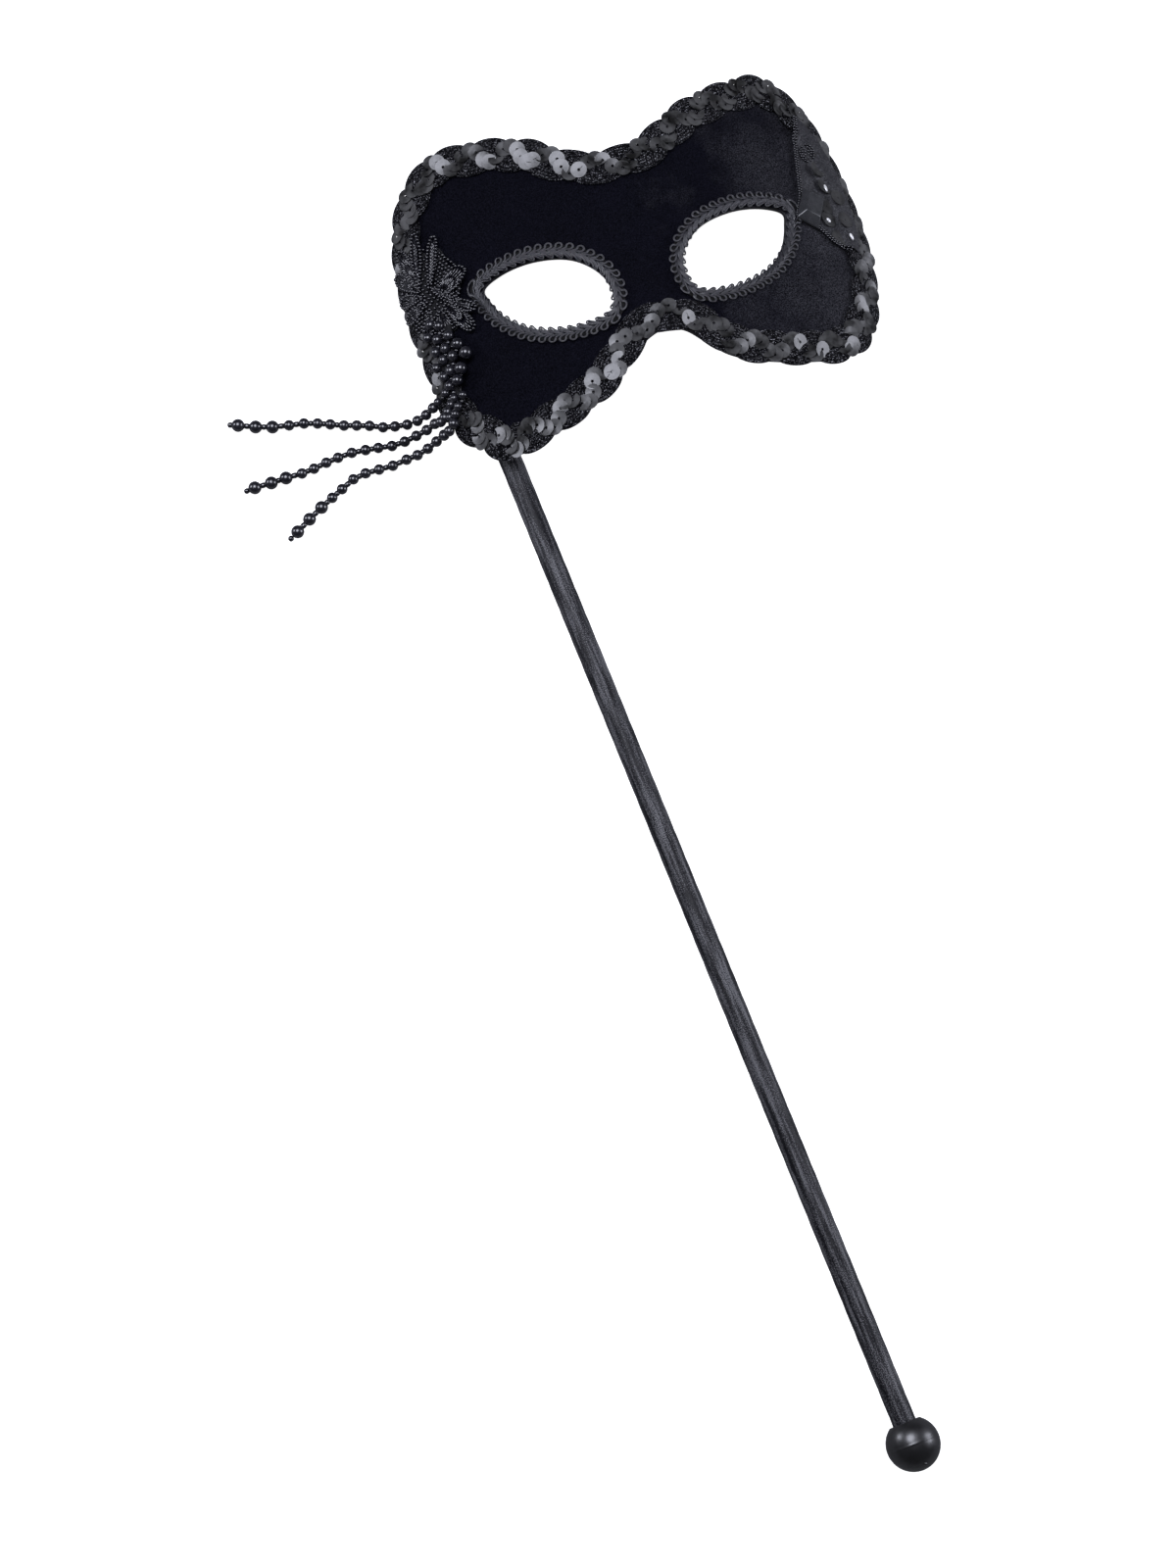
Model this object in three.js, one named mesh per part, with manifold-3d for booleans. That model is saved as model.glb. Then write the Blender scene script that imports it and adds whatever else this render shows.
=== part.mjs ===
// A half mask on a stick, lying on its back edges with the face up. Millimetres, +Z up.
// The face is laid out on a flat pattern: u runs round the face from the nose, v runs up it.
// A point of the pattern is bent onto the moulded face, and the mask leans back a little as it lies.
// +Y is the mask's up direction, and the stick runs down towards -Y.
import * as THREE from "three";
import { mergeVertices } from "three/addons/utils/BufferGeometryUtils.js";
import Module from "manifold-3d";

const wasm = await Module();
wasm.setup();

// The moulded face
const FRONT_BEND = 0.0062; // radians of turn per millimetre at the nose
const SIDE_BEND = 3.5e-7; // extra turn with the cube of the distance round the face
const BROW_CROWN = 0.00045; // fall of the face above and below its fullest line
const CROWN_LINE = -13.6; // the fullest line, below the eye line
const NOSE_RISE = 5.5; // how far the nose bridge stands out
const NOSE_HALF = 13;
const NOSE_START = -15.6;
const NOSE_EASE = 6;
const LIE_TILT = THREE.MathUtils.degToRad(3.4); // how far the mask leans as it lies
const EYE_LINE_HEIGHT = 32.2; // the nose on the eye line, above the table

// Layers of the face, measured out from the surface of the velvet
const FIT_GAP = 0.3;
const VELVET = [-0.8, 0];
const SHELL = [-2.7, -1.1];
const TRIM_THICK = 1.2;
const SEQUIN_THICK = 0.6;
const BRAID_THICK = 1.6;
const TRIM_BASE = 0.4;
const SEQUIN_BASE = TRIM_BASE + TRIM_THICK + FIT_GAP;
const OVER_TRIM = SEQUIN_BASE + SEQUIN_THICK + FIT_GAP;
const CLIMB = 3.4; // how far before an edge the pieces sewn on top begin to rise over it

// The outline, from the top of the nose dip round the viewer's right and back; the lobes differ a little
const RIM_POINTS = [
  [0, 44.4],
  [12, 46.6],
  [30, 57],
  [51, 63.6],
  [64.2, 64.7],
  [78.2, 52.4],
  [85.9, 33.7],
  [90.3, 12],
  [89.8, -8],
  [82.8, -29.5],
  [72, -42.6],
  [62.2, -46.9],
  [46.6, -46.8],
  [31.3, -44],
  [20.8, -39.7],
  [13.5, -33.2],
  [7.8, -28.3],
  [0, -26.4],
  [-7.8, -28.4],
  [-13.7, -32.9],
  [-21.1, -39.2],
  [-31, -44.7],
  [-46.4, -49.4],
  [-63.2, -51.4],
  [-73.4, -44.2],
  [-83.5, -29.8],
  [-86.6, -7.4],
  [-88.6, 12],
  [-87.8, 34],
  [-80, 53.8],
  [-64.4, 65.4],
  [-50.9, 64.8],
  [-29.4, 58.4],
  [-11.9, 46.9],
];
const NOSE_TOP = RIM_POINTS[0];
const NOSE_NOTCH = RIM_POINTS.find(([u], i) => u === 0 && i > 0);

// The eye hole about its own centre: a pointed outer corner above, a blunt inner corner below
const EYE_CENTRE = [34.5, 0];
const EYE = [
  [23.4, 11.2],
  [16, 14],
  [2.5, 14.2],
  [-11.2, 9.8],
  [-19.4, 1],
  [-21, -8],
  [-18.6, -14],
  [-8.5, -15.6],
  [2.6, -13.6],
  [11, -9.4],
  [18.6, -1.6],
  [22.6, 7],
];

// Edge trim: fans of lurex thread on alternate sides, with a zigzag string of sequins between them
const FAN_PAIRS = 35;
const FAN_RISE = 3;
const FAN_SHARE = 0.92; // how much of its half of the run a fan fills
const TRIM_OUTER = 0.2;
const TRIM_INNER = 7.8;
const TRIM_REACH = TRIM_INNER + FAN_RISE;
const SEQUIN_MIDDLE = 3.6;
const SEQUIN_SWING = 3.8;
const SEQUIN_WIDE = 5.6;

// Gimp braid round each eye
const BRAID_INNER = -1;
const BRAID_OUTER = 8;
const BRAID_LOBES = 29;
const LOBE_RISE = 0.8;

// Beaded flower and its pearls, on the viewer's left temple
const FLOWER_CENTRE = [-74, 22.5];
const FLOWER_REACH = 16;
const FLOWER_WIDE = 0.86;
const FLOWER_TALL = 1.16;
const FLOWER_PETALS = 6;
const FLOWER_PETAL_RISE = 5;
const FLOWER_PETAL_MEAN = 0.6;
const FLOWER_THICK = 1.2;
const FLOWER_DOME = 2.6;
const PEARL_RADIUS = 2.2;
const PEARL_PITCH = 5;
const PEARL_ROWS = 6;
const PEARL_LIFT = 1.5; // the middle of a pearl above its pad
const CLUSTER_TOP = [-74.2, -1.8];
const CLUSTER_FOOT = [-79.6, -27.5];
const CLUSTER_HALF = [6.5, 2.6];
const PAD_THICK = 0.8;

// Three strands of pearls that lie beside the mask, from the cluster out to their tips
const SMALL_PEARL = 1.65;
const BIG_PEARL = 2.15;
const STOP_BEAD = 0.95;
const STRAND_NECK = 0.6;
const SMALL_PITCH = 4.7;
const BIG_PITCH = 5.9;
const BIG_COUNT = 3;
const STRANDS = {
  pearl_strand_upper: [
    [-83.4, -24.2, 10],
    [-86.6, -25, 6.4],
    [-91, -25.6, 3.2],
    [-98.4, -25, 2.4],
    [-111.5, -21, 2.4],
    [-124.8, -16.8, 2.4],
    [-140.7, -13.8, 2.4],
    [-155, -8.8, 2.4],
  ],
  pearl_strand_middle: [
    [-83.2, -29.8, 9.6],
    [-86.6, -30.2, 6],
    [-91.5, -30.6, 3],
    [-101.3, -31.6, 2.4],
    [-112, -30.6, 2.4],
    [-125.5, -31.6, 2.4],
    [-140.8, -33.5, 2.4],
    [-155.4, -34.2, 2.4],
  ],
  pearl_strand_lower: [
    [-81.4, -35, 9.2],
    [-85, -36, 5.6],
    [-90.5, -37, 2.8],
    [-102.9, -39, 2.4],
    [-113, -39.1, 2.4],
    [-122.6, -42.6, 2.4],
    [-133.6, -48.8, 2.4],
    [-144.7, -55.4, 2.4],
  ],
};

// Satin corner patch with its bead edging and faceted stud, on the viewer's right temple
const PATCH_TOP = [70.6, 41.2];
const PATCH_NEAR = [63.8, 18.5];
const PATCH_LOW = [66, 2.4];
const PATCH_FOOT = [76, -4.6];
const PATCH_SIDE = [78, 15];
const PATCH_THICK = 0.6;
const EDGING_WIDE = 1.7;
const STUD_CENTRE = [67.8, 11.2];
const STUD_SIZE = [9.4, 13.8];
const STUD_GIRDLE = 0.7; // how high the sides stand before they slope
const STUD_TURN = THREE.MathUtils.degToRad(-31);
const STUD_TABLE = 0.42; // the flat top as a share of the base
const STUD_HEIGHT = 3.6;

// Stick, ribbon and ball
const BALL_RADIUS = 9.25;
const BALL_CENTRE = new THREE.Vector3(-23.6, -417.3, 9);
const BALL_COLLAR = 5.4;
const COLLAR_HEIGHT = Math.sqrt(BALL_RADIUS ** 2 - BALL_COLLAR ** 2);
const SOCKET_DEPTH = 7;
const STICK_TOP = new THREE.Vector3(-65.6, -20, 9);
const STICK_RADIUS = 3.5;
const RIBBON_INNER = 3.82;
const RIBBON_OUTER = 4.15;
const GLUE_LENGTH = 22;
const GLUE_HALF = 6;
const GLUE_BACK = 3; // from the end of the stick to the glue

// Facets
const EYE_TURN_STEPS = 34;
const BRIDGE_STEPS = 6;
const FACE_STEPS = 4;
const ARC_STEPS = 24;
const FLOWER_STEPS = 36;
const PATCH_STEPS = 6;
const BALL_STEPS = 9;
const BALL_SIDES = 18;
const STICK_SIDES = 16;
const GLUE_STEPS = 3;
const BEAD_SIDES = 5;
const BEAD_SHOULDER = 0.85; // how far along its radius a strung bead ends
const BEAD_END = 0.45; // the size of that end as a share of its radius
const EDGE_SAMPLES = 360;

// Where the face turns to at u: how far across and how far down
function archAt(u) {
  const reach = Math.abs(u);
  const step = reach / ARC_STEPS;
  let across = 0;
  let down = 0;
  for (let i = 0; i < ARC_STEPS; i++) {
    const middle = (i + 0.5) * step;
    const turn = FRONT_BEND * middle + SIDE_BEND * middle ** 3;
    across += Math.cos(turn) * step;
    down += Math.sin(turn) * step;
  }
  return [Math.sign(u) * across, down];
}

// A point of the velvet surface in the mask's own frame
function skinPoint(u, v) {
  const [across, down] = archAt(u);
  const nose = NOSE_RISE * Math.exp(-((u / NOSE_HALF) ** 2));
  const ridge = nose / (1 + Math.exp((v - NOSE_START) / NOSE_EASE));
  const crown = BROW_CROWN * (v - CROWN_LINE) ** 2;
  return new THREE.Vector3(across, v, ridge - down - crown);
}

// A point raised from the velvet surface, in the lying frame
function facePoint(u, v, raise) {
  const reach = 0.5;
  const along = skinPoint(u + reach, v).sub(skinPoint(u - reach, v));
  const up = skinPoint(u, v + reach).sub(skinPoint(u, v - reach));
  const point = skinPoint(u, v).addScaledVector(along.cross(up).normalize(), raise);
  point.applyAxisAngle(new THREE.Vector3(1, 0, 0), -LIE_TILT);
  point.z += EYE_LINE_HEIGHT;
  return point;
}

// A closed curve through points of the pattern
function closedCurve(points) {
  const places = points.map(([u, v]) => new THREE.Vector3(u, v, 0));
  return new THREE.CatmullRomCurve3(places, true, "centripetal");
}

const RIM = closedCurve(RIM_POINTS);
const EYE_HOLE = closedCurve(EYE.map(([u, v]) => [EYE_CENTRE[0] + u, EYE_CENTRE[1] + v]));
const RIM_SAMPLES = RIM.getSpacedPoints(EDGE_SAMPLES);
const EYE_SAMPLES = EYE_HOLE.getSpacedPoints(EDGE_SAMPLES);

// How far a place of the pattern is from an edge
function distanceTo(samples, u, v) {
  return Math.min(...samples.map((p) => Math.hypot(p.x - u, p.y - v)));
}

// The bottom of what is sewn over the velvet: it climbs where the trim or a braid runs below it
function restHeight(u, v) {
  const overTrim = TRIM_REACH + CLIMB - distanceTo(RIM_SAMPLES, u, v);
  const overBraid = BRAID_OUTER + LOBE_RISE + CLIMB - distanceTo(EYE_SAMPLES, Math.abs(u), v);
  const climb = THREE.MathUtils.clamp(Math.max(overTrim, overBraid) / 2, 0, 1);
  return THREE.MathUtils.lerp(TRIM_BASE, OVER_TRIM, climb);
}

// A skin through rings of points, closed round on itself or capped at both ends
function loft(rings, closed) {
  const size = rings[0].length;
  const points = rings.flat();
  const index = [];
  const spans = closed ? rings.length : rings.length - 1;
  for (let i = 0; i < spans; i++) {
    const here = i * size;
    const next = ((i + 1) % rings.length) * size;
    for (let j = 0; j < size; j++) {
      const k = (j + 1) % size;
      index.push(here + j, next + j, next + k, here + j, next + k, here + k);
    }
  }
  if (!closed) {
    const last = (rings.length - 1) * size;
    for (let j = 1; j < size - 1; j++) {
      index.push(0, j, j + 1, last, last + j + 1, last + j);
    }
  }
  return facingOut(new THREE.BufferGeometry().setFromPoints(points).setIndex(index));
}

// Turns a closed geometry so that its faces look out
function facingOut(geometry) {
  const place = geometry.getAttribute("position");
  const index = geometry.getIndex();
  const corner = [0, 1, 2].map(() => new THREE.Vector3());
  let volume = 0;
  for (let i = 0; i < index.count; i += 3) {
    corner.forEach((c, k) => c.fromBufferAttribute(place, index.getX(i + k)));
    volume += corner[0].dot(corner[1].clone().cross(corner[2]));
  }
  if (volume < 0) index.array.reverse();
  return geometry;
}

// Solids that can be joined and cut
function toSolid(geometry) {
  const bare = geometry.clone();
  bare.deleteAttribute("normal");
  bare.deleteAttribute("uv");
  const merged = mergeVertices(bare, 1e-4);
  const vertProperties = merged.getAttribute("position").array;
  const triVerts = new Uint32Array(merged.getIndex().array);
  return new wasm.Manifold(new wasm.Mesh({ numProp: 3, vertProperties, triVerts }));
}

function toGeometry(solid) {
  const mesh = solid.getMesh();
  const place = new THREE.BufferAttribute(new Float32Array(mesh.vertProperties), 3);
  const index = new THREE.BufferAttribute(new Uint32Array(mesh.triVerts), 1);
  return new THREE.BufferGeometry().setAttribute("position", place).setIndex(index);
}

function join(geometries) {
  return toGeometry(geometries.map(toSolid).reduce((all, one) => all.add(one)));
}

function cut(geometry, tool) {
  return toGeometry(toSolid(geometry).subtract(toSolid(tool)));
}

// Everything below the table
const BELOW_TABLE = new THREE.BoxGeometry(900, 1200, 40).translate(0, -200, -20);

// Where a ray from the eye centre meets a closed run of samples
function meetRay(samples, angle) {
  const [cu, cv] = EYE_CENTRE;
  const side = (p) => (p.y - cv) * Math.cos(angle) - (p.x - cu) * Math.sin(angle);
  const ahead = (p) => (p.x - cu) * Math.cos(angle) + (p.y - cv) * Math.sin(angle);
  for (let i = 0; i < samples.length; i++) {
    const a = samples[i];
    const b = samples[(i + 1) % samples.length];
    if (side(a) <= 0 && side(b) > 0 && ahead(b) > 0) {
      return a.clone().lerp(b, side(a) / (side(a) - side(b)));
    }
  }
  throw new Error("the ray misses the edge");
}

// One half of a layer of the face: rings from the eye hole out to the outline and back below.
// The half on the left is made on the right, from its mirrored outline, and then mirrored back.
function halfLayer([under, over], mirrored) {
  const [cu, cv] = EYE_CENTRE;
  const [topU, topV] = NOSE_TOP;
  const [notchU, notchV] = NOSE_NOTCH;
  const topAngle = Math.atan2(topV - cv, topU - cu);
  const notchAngle = Math.atan2(notchV - cv, notchU - cu) + 2 * Math.PI;
  const side = mirrored ? -1 : 1;
  const outline = RIM_SAMPLES.map((p) => new THREE.Vector3(p.x * side, p.y, 0)).filter((p) => p.x > 1e-6);
  if (!mirrored) outline.reverse();
  outline.push(new THREE.Vector3(topU, topV, 0), new THREE.Vector3(notchU, notchV, 0));
  const rings = [];
  const addRing = (angle) => {
    const inner = meetRay(EYE_SAMPLES, angle);
    const outer = meetRay(outline, angle);
    const front = [];
    const back = [];
    for (let i = 0; i <= FACE_STEPS; i++) {
      const p = inner.clone().lerp(outer, i / FACE_STEPS);
      const u = i === FACE_STEPS && p.x < 1e-3 ? 0 : p.x;
      front.push(facePoint(u, p.y, over));
      back.unshift(facePoint(u, p.y, under));
    }
    rings.push([...front, ...back]);
  };
  for (let i = 0; i < BRIDGE_STEPS; i++) {
    addRing(THREE.MathUtils.lerp(topAngle, notchAngle, i / BRIDGE_STEPS));
  }
  for (let i = 0; i < EYE_TURN_STEPS; i++) {
    addRing(THREE.MathUtils.lerp(notchAngle, topAngle + 2 * Math.PI, i / EYE_TURN_STEPS));
  }
  const half = loft(rings, true);
  return mirrored ? facingOut(half.scale(-1, 1, 1)) : half;
}

// Both halves of a layer, joined down the nose and flat where it meets the table
function faceLayer(layer) {
  return cut(join([halfLayer(layer, false), halfLayer(layer, true)]), BELOW_TABLE);
}

// A place beside a closed edge: share of the way round, and distance to its right-hand side
function besideEdge(curve, share, inward) {
  const around = ((share % 1) + 1) % 1;
  const at = curve.getPointAt(around);
  const along = curve.getTangentAt(around);
  return [at.x + along.y * inward, at.y - along.x * inward];
}

// A flat band over the face, from four corners given for each step
function faceBand(corners, closed) {
  const rings = corners.map((ring) => ring.map(([[u, v], raise]) => facePoint(u, v, raise)));
  return loft(rings, closed);
}

// The round bulge of a fan at a place in its period, from 0 to 1
function fanBulge(phase) {
  const away = Math.abs(phase - Math.round(phase)) * 2;
  return Math.sqrt(Math.max(0, 1 - (away / FAN_SHARE) ** 2));
}

// The trim: a band with fans on both its edges
function edgeTrim() {
  const steps = FAN_PAIRS * 5;
  const corners = [];
  for (let i = 0; i < steps; i++) {
    const share = i / steps;
    const phase = share * FAN_PAIRS;
    const outer = TRIM_OUTER - FAN_RISE * fanBulge(phase);
    const inner = TRIM_INNER + FAN_RISE * fanBulge(phase + 0.5);
    const out = besideEdge(RIM, share, outer);
    const into = besideEdge(RIM, share, inner);
    const top = TRIM_BASE + TRIM_THICK;
    corners.push([[out, TRIM_BASE], [out, top], [into, top], [into, TRIM_BASE]]);
  }
  return cut(faceBand(corners, true), BELOW_TABLE);
}

// The overlapping sequins, as one thin band that swings from side to side
function sequinString() {
  const steps = FAN_PAIRS * 4;
  const corners = [];
  for (let i = 0; i < steps; i++) {
    const share = i / steps;
    const swing = SEQUIN_SWING * Math.cos(2 * Math.PI * share * FAN_PAIRS);
    const outer = SEQUIN_MIDDLE + swing - SEQUIN_WIDE / 2;
    const out = besideEdge(RIM, share, outer);
    const into = besideEdge(RIM, share, outer + SEQUIN_WIDE);
    const top = SEQUIN_BASE + SEQUIN_THICK;
    corners.push([[out, SEQUIN_BASE], [out, top], [into, top], [into, SEQUIN_BASE]]);
  }
  return cut(faceBand(corners, true), BELOW_TABLE);
}

// The braid round an eye hole, narrower where the trim comes close to it
function eyeBraid() {
  const steps = BRAID_LOBES * 2;
  const corners = [];
  for (let i = 0; i < steps; i++) {
    const share = i / steps;
    const lobe = i % 2 === 0 ? LOBE_RISE : 0;
    const edge = EYE_HOLE.getPointAt(share);
    const room = distanceTo(RIM_SAMPLES, edge.x, edge.y) - TRIM_REACH - FIT_GAP;
    const inner = besideEdge(EYE_HOLE, share, BRAID_INNER);
    const outer = besideEdge(EYE_HOLE, share, Math.min(BRAID_OUTER + lobe, room));
    const top = TRIM_BASE + BRAID_THICK;
    corners.push([[inner, TRIM_BASE], [inner, top], [outer, top], [outer, TRIM_BASE]]);
  }
  return faceBand(corners, true);
}

// How far the flower reaches at an angle: furthest at the middle of a petal
function petalReach(angle) {
  const petal = Math.abs(Math.cos((FLOWER_PETALS * angle) / 2));
  return FLOWER_REACH + FLOWER_PETAL_RISE * (petal - FLOWER_PETAL_MEAN);
}

// The flower: petals round a low dome, following whatever it is sewn over
function beadedFlower() {
  const levels = [1, 0.66, 0.33];
  const place = (angle, level, over) => {
    const reach = petalReach(angle) * level;
    const u = FLOWER_CENTRE[0] + Math.cos(angle) * reach * FLOWER_WIDE;
    const v = FLOWER_CENTRE[1] + Math.sin(angle) * reach * FLOWER_TALL;
    const dome = over ? FLOWER_THICK + FLOWER_DOME * (1 - level ** 2) : 0;
    return facePoint(u, v, restHeight(u, v) + dome);
  };
  const ring = (level, over) => {
    const points = [];
    for (let i = 0; i < FLOWER_STEPS; i++) {
      points.push(place((2 * Math.PI * i) / FLOWER_STEPS, level, over));
    }
    return points;
  };
  const tops = levels.map((level) => ring(level, true));
  const bottoms = levels.map((level) => ring(level, false)).reverse();
  return loft([...bottoms, ...tops], false);
}

// Pearls in staggered rows on a narrow pad that hangs from the flower
function pearlCluster() {
  const pad = [];
  const pearls = [];
  for (let row = 0; row < PEARL_ROWS; row++) {
    const share = row / (PEARL_ROWS - 1);
    const u = THREE.MathUtils.lerp(CLUSTER_TOP[0], CLUSTER_FOOT[0], share);
    const v = THREE.MathUtils.lerp(CLUSTER_TOP[1], CLUSTER_FOOT[1], share);
    const half = THREE.MathUtils.lerp(CLUSTER_HALF[0], CLUSTER_HALF[1], share);
    const low = OVER_TRIM;
    const high = OVER_TRIM + PAD_THICK;
    pad.push([[[u - half, v], low], [[u - half, v], high], [[u + half, v], high], [[u + half, v], low]]);
    const across = row % 2 === 0 ? [-1, 0, 1] : [-0.5, 0.5];
    for (const side of across) {
      const reach = Math.min(PEARL_PITCH, half);
      const centre = facePoint(u + side * reach, v, high + PEARL_LIFT);
      const pearl = new THREE.SphereGeometry(PEARL_RADIUS, 6, 3).translate(...centre);
      pearls.push(pearl);
    }
  }
  return join([faceBand(pad, false), ...pearls]);
}

// A strand of pearls: big ones at the tip after a run of small ones, on one thread
function pearlStrand(points) {
  const path = new THREE.CatmullRomCurve3(points.map((p) => new THREE.Vector3(...p)));
  const length = path.getLength();
  const beads = [[length - STOP_BEAD, STOP_BEAD]];
  let at = length - 2 * STOP_BEAD - BIG_PEARL;
  for (let i = 0; i < BIG_COUNT; i++) {
    beads.unshift([at, BIG_PEARL]);
    at -= BIG_PITCH;
  }
  for (; at > SMALL_PEARL; at -= SMALL_PITCH) beads.unshift([at, SMALL_PEARL]);
  const rings = [];
  const addRing = (distance, radius) => {
    const share = THREE.MathUtils.clamp(distance / length, 0, 1);
    const along = path.getTangentAt(share);
    const centre = path.getPointAt(share);
    const side = new THREE.Vector3(-along.y, along.x, 0).normalize();
    const up = along.clone().cross(side);
    const ring = [];
    for (let k = 0; k < BEAD_SIDES; k++) {
      const turn = (2 * Math.PI * (k + 0.5)) / BEAD_SIDES;
      const point = centre.clone().addScaledVector(side, Math.cos(turn) * radius);
      ring.push(point.addScaledVector(up, Math.sin(turn) * radius));
    }
    rings.push(ring);
  };
  for (const [distance, radius] of beads) {
    const end = Math.max(radius * BEAD_END, STRAND_NECK);
    addRing(distance - radius * BEAD_SHOULDER, end);
    addRing(distance, radius);
    addRing(distance + radius * BEAD_SHOULDER, end);
  }
  return loft(rings, false);
}

// The satin patch between its bead edging and the trim
function cornerPatch() {
  const low = TRIM_BASE;
  const high = TRIM_BASE + PATCH_THICK;
  const bow = (points) => new THREE.QuadraticBezierCurve(...points.map((p) => new THREE.Vector2(...p)));
  const side = PATCH_SIDE[0] * 2 - (PATCH_TOP[0] + PATCH_FOOT[0]) / 2;
  const near = bow([PATCH_TOP, PATCH_NEAR, PATCH_LOW]);
  const far = bow([[PATCH_TOP[0] + 1, PATCH_TOP[1]], [side, PATCH_SIDE[1]], PATCH_FOOT]);
  const corners = [];
  for (let i = 0; i <= PATCH_STEPS; i++) {
    const a = near.getPoint(i / PATCH_STEPS).toArray();
    const b = far.getPoint(i / PATCH_STEPS).toArray();
    corners.push([[a, low], [a, high], [b, high], [b, low]]);
  }
  return faceBand(corners, false);
}

// A run of seed beads along one side of the patch
function patchEdging(from, to) {
  const along = new THREE.Vector2(to[0] - from[0], to[1] - from[1]).normalize();
  const corners = [];
  for (let i = 0; i <= PATCH_STEPS; i++) {
    const share = i / PATCH_STEPS;
    const u = THREE.MathUtils.lerp(from[0], to[0], share) + along.y * FIT_GAP;
    const v = THREE.MathUtils.lerp(from[1], to[1], share) - along.x * FIT_GAP;
    const side = [u + along.y * EDGING_WIDE, v - along.x * EDGING_WIDE];
    const high = TRIM_BASE + EDGING_WIDE;
    corners.push([[[u, v], TRIM_BASE], [[u, v], high], [side, high], [side, TRIM_BASE]]);
  }
  return faceBand(corners, false);
}

// A table cut stone: a square base, sloping sides and a flat top, with a margin all round
function studShape(margin, low, high, table) {
  const ring = (scale, raise) => {
    const halfWide = (STUD_SIZE[0] * scale) / 2 + margin;
    const halfTall = (STUD_SIZE[1] * scale) / 2 + margin;
    return [[-1, -1], [1, -1], [1, 1], [-1, 1]].map(([a, b]) => {
      const corner = new THREE.Vector2(a * halfWide, b * halfTall);
      corner.rotateAround(new THREE.Vector2(), STUD_TURN);
      return facePoint(STUD_CENTRE[0] + corner.x, STUD_CENTRE[1] + corner.y, raise);
    });
  };
  return loft([ring(1, low), ring(1, low + STUD_GIRDLE), ring(table, high)], false);
}

// Turns a shape made along +Y to run along the stick
function alongStick(geometry, axis, start) {
  const turn = new THREE.Quaternion().setFromUnitVectors(new THREE.Vector3(0, 1, 0), axis);
  return geometry.applyQuaternion(turn).translate(...start);
}

// The ball: a moulded sphere, flat where the stick goes in and at one spot where it lies
function ballFinial(axis) {
  const profile = [new THREE.Vector2(0, -BALL_RADIUS)];
  const collarAngle = Math.asin(BALL_COLLAR / BALL_RADIUS);
  for (let i = 1; i <= BALL_STEPS; i++) {
    const turn = THREE.MathUtils.lerp(Math.PI, collarAngle, i / BALL_STEPS);
    profile.push(new THREE.Vector2(Math.sin(turn) * BALL_RADIUS, Math.cos(turn) * BALL_RADIUS));
  }
  const socket = RIBBON_OUTER + FIT_GAP;
  profile.push(new THREE.Vector2(socket, COLLAR_HEIGHT));
  profile.push(new THREE.Vector2(socket, COLLAR_HEIGHT - SOCKET_DEPTH));
  profile.push(new THREE.Vector2(0, COLLAR_HEIGHT - SOCKET_DEPTH));
  const ball = alongStick(new THREE.LatheGeometry(profile, BALL_SIDES), axis, BALL_CENTRE);
  return cut(ball, BELOW_TABLE);
}

// The way round the face at which it has gone a given way across
function roundAt(across) {
  let u = across;
  for (let i = 0; i < 6; i++) u += across - archAt(u)[0];
  return u;
}

// The bed of glue that holds the stick under the lobe
function glueBed(axis, middle) {
  const rings = [];
  for (let i = 0; i <= GLUE_STEPS; i++) {
    const v = middle.y + GLUE_LENGTH * (i / GLUE_STEPS - 0.5);
    const over = [-1, -0.3, 0.3, 1].map((side) => {
      return facePoint(roundAt(middle.x + side * GLUE_HALF), v, SHELL[0] - FIT_GAP);
    });
    const under = [over[3], over[0]].map((p) => new THREE.Vector3(p.x, p.y, BALL_CENTRE.z));
    rings.push([...over, ...under]);
  }
  const clearance = RIBBON_OUTER + FIT_GAP;
  const rod = new THREE.CylinderGeometry(clearance, clearance, GLUE_LENGTH * 3, STICK_SIDES);
  return cut(loft(rings, false), alongStick(rod, axis, middle));
}

// Finishes
function finish(color, roughness, metalness = 0) {
  return new THREE.MeshStandardMaterial({ color, roughness, metalness });
}

const VELVET_FINISH = finish(0x0c0c11, 0.95);
const PLASTIC_FINISH = finish(0x111113, 0.5);
const LUREX_FINISH = finish(0x1b1b20, 0.6, 0.1);
const SEQUIN_FINISH = finish(0x46474b, 0.3, 0.3);
const GIMP_FINISH = finish(0x1d1d20, 0.75);
const PEARL_FINISH = finish(0x101012, 0.15);
const SATIN_FINISH = finish(0x3a3b3f, 0.5);
const STUD_FINISH = finish(0x3c3e42, 0.2);
const RIBBON_FINISH = finish(0x151518, 0.6);
const WOOD_FINISH = finish(0x8a6f4d, 0.7);
const GLUE_FINISH = finish(0xd8d6cf, 0.4);

function piece(name, geometry, material) {
  geometry.computeVertexNormals();
  const mesh = new THREE.Mesh(geometry, material);
  mesh.name = name;
  return mesh;
}

const mask = new THREE.Group();
mask.add(piece("mask_shell", faceLayer(SHELL), PLASTIC_FINISH));
mask.add(piece("velvet_cover", faceLayer(VELVET), VELVET_FINISH));
mask.add(piece("edge_trim", edgeTrim(), LUREX_FINISH));
mask.add(piece("sequin_string", sequinString(), SEQUIN_FINISH));

const studBase = TRIM_BASE + PATCH_THICK + FIT_GAP;
const studTop = studBase + STUD_HEIGHT;
const studClearance = studShape(FIT_GAP, 0, studTop, 1);
const rightBraid = eyeBraid();
const leftBraid = facingOut(rightBraid.clone().scale(-1, 1, 1));
mask.add(piece("eye_braid_left", leftBraid, GIMP_FINISH));
mask.add(piece("eye_braid_right", cut(rightBraid, studClearance), GIMP_FINISH));

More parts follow.
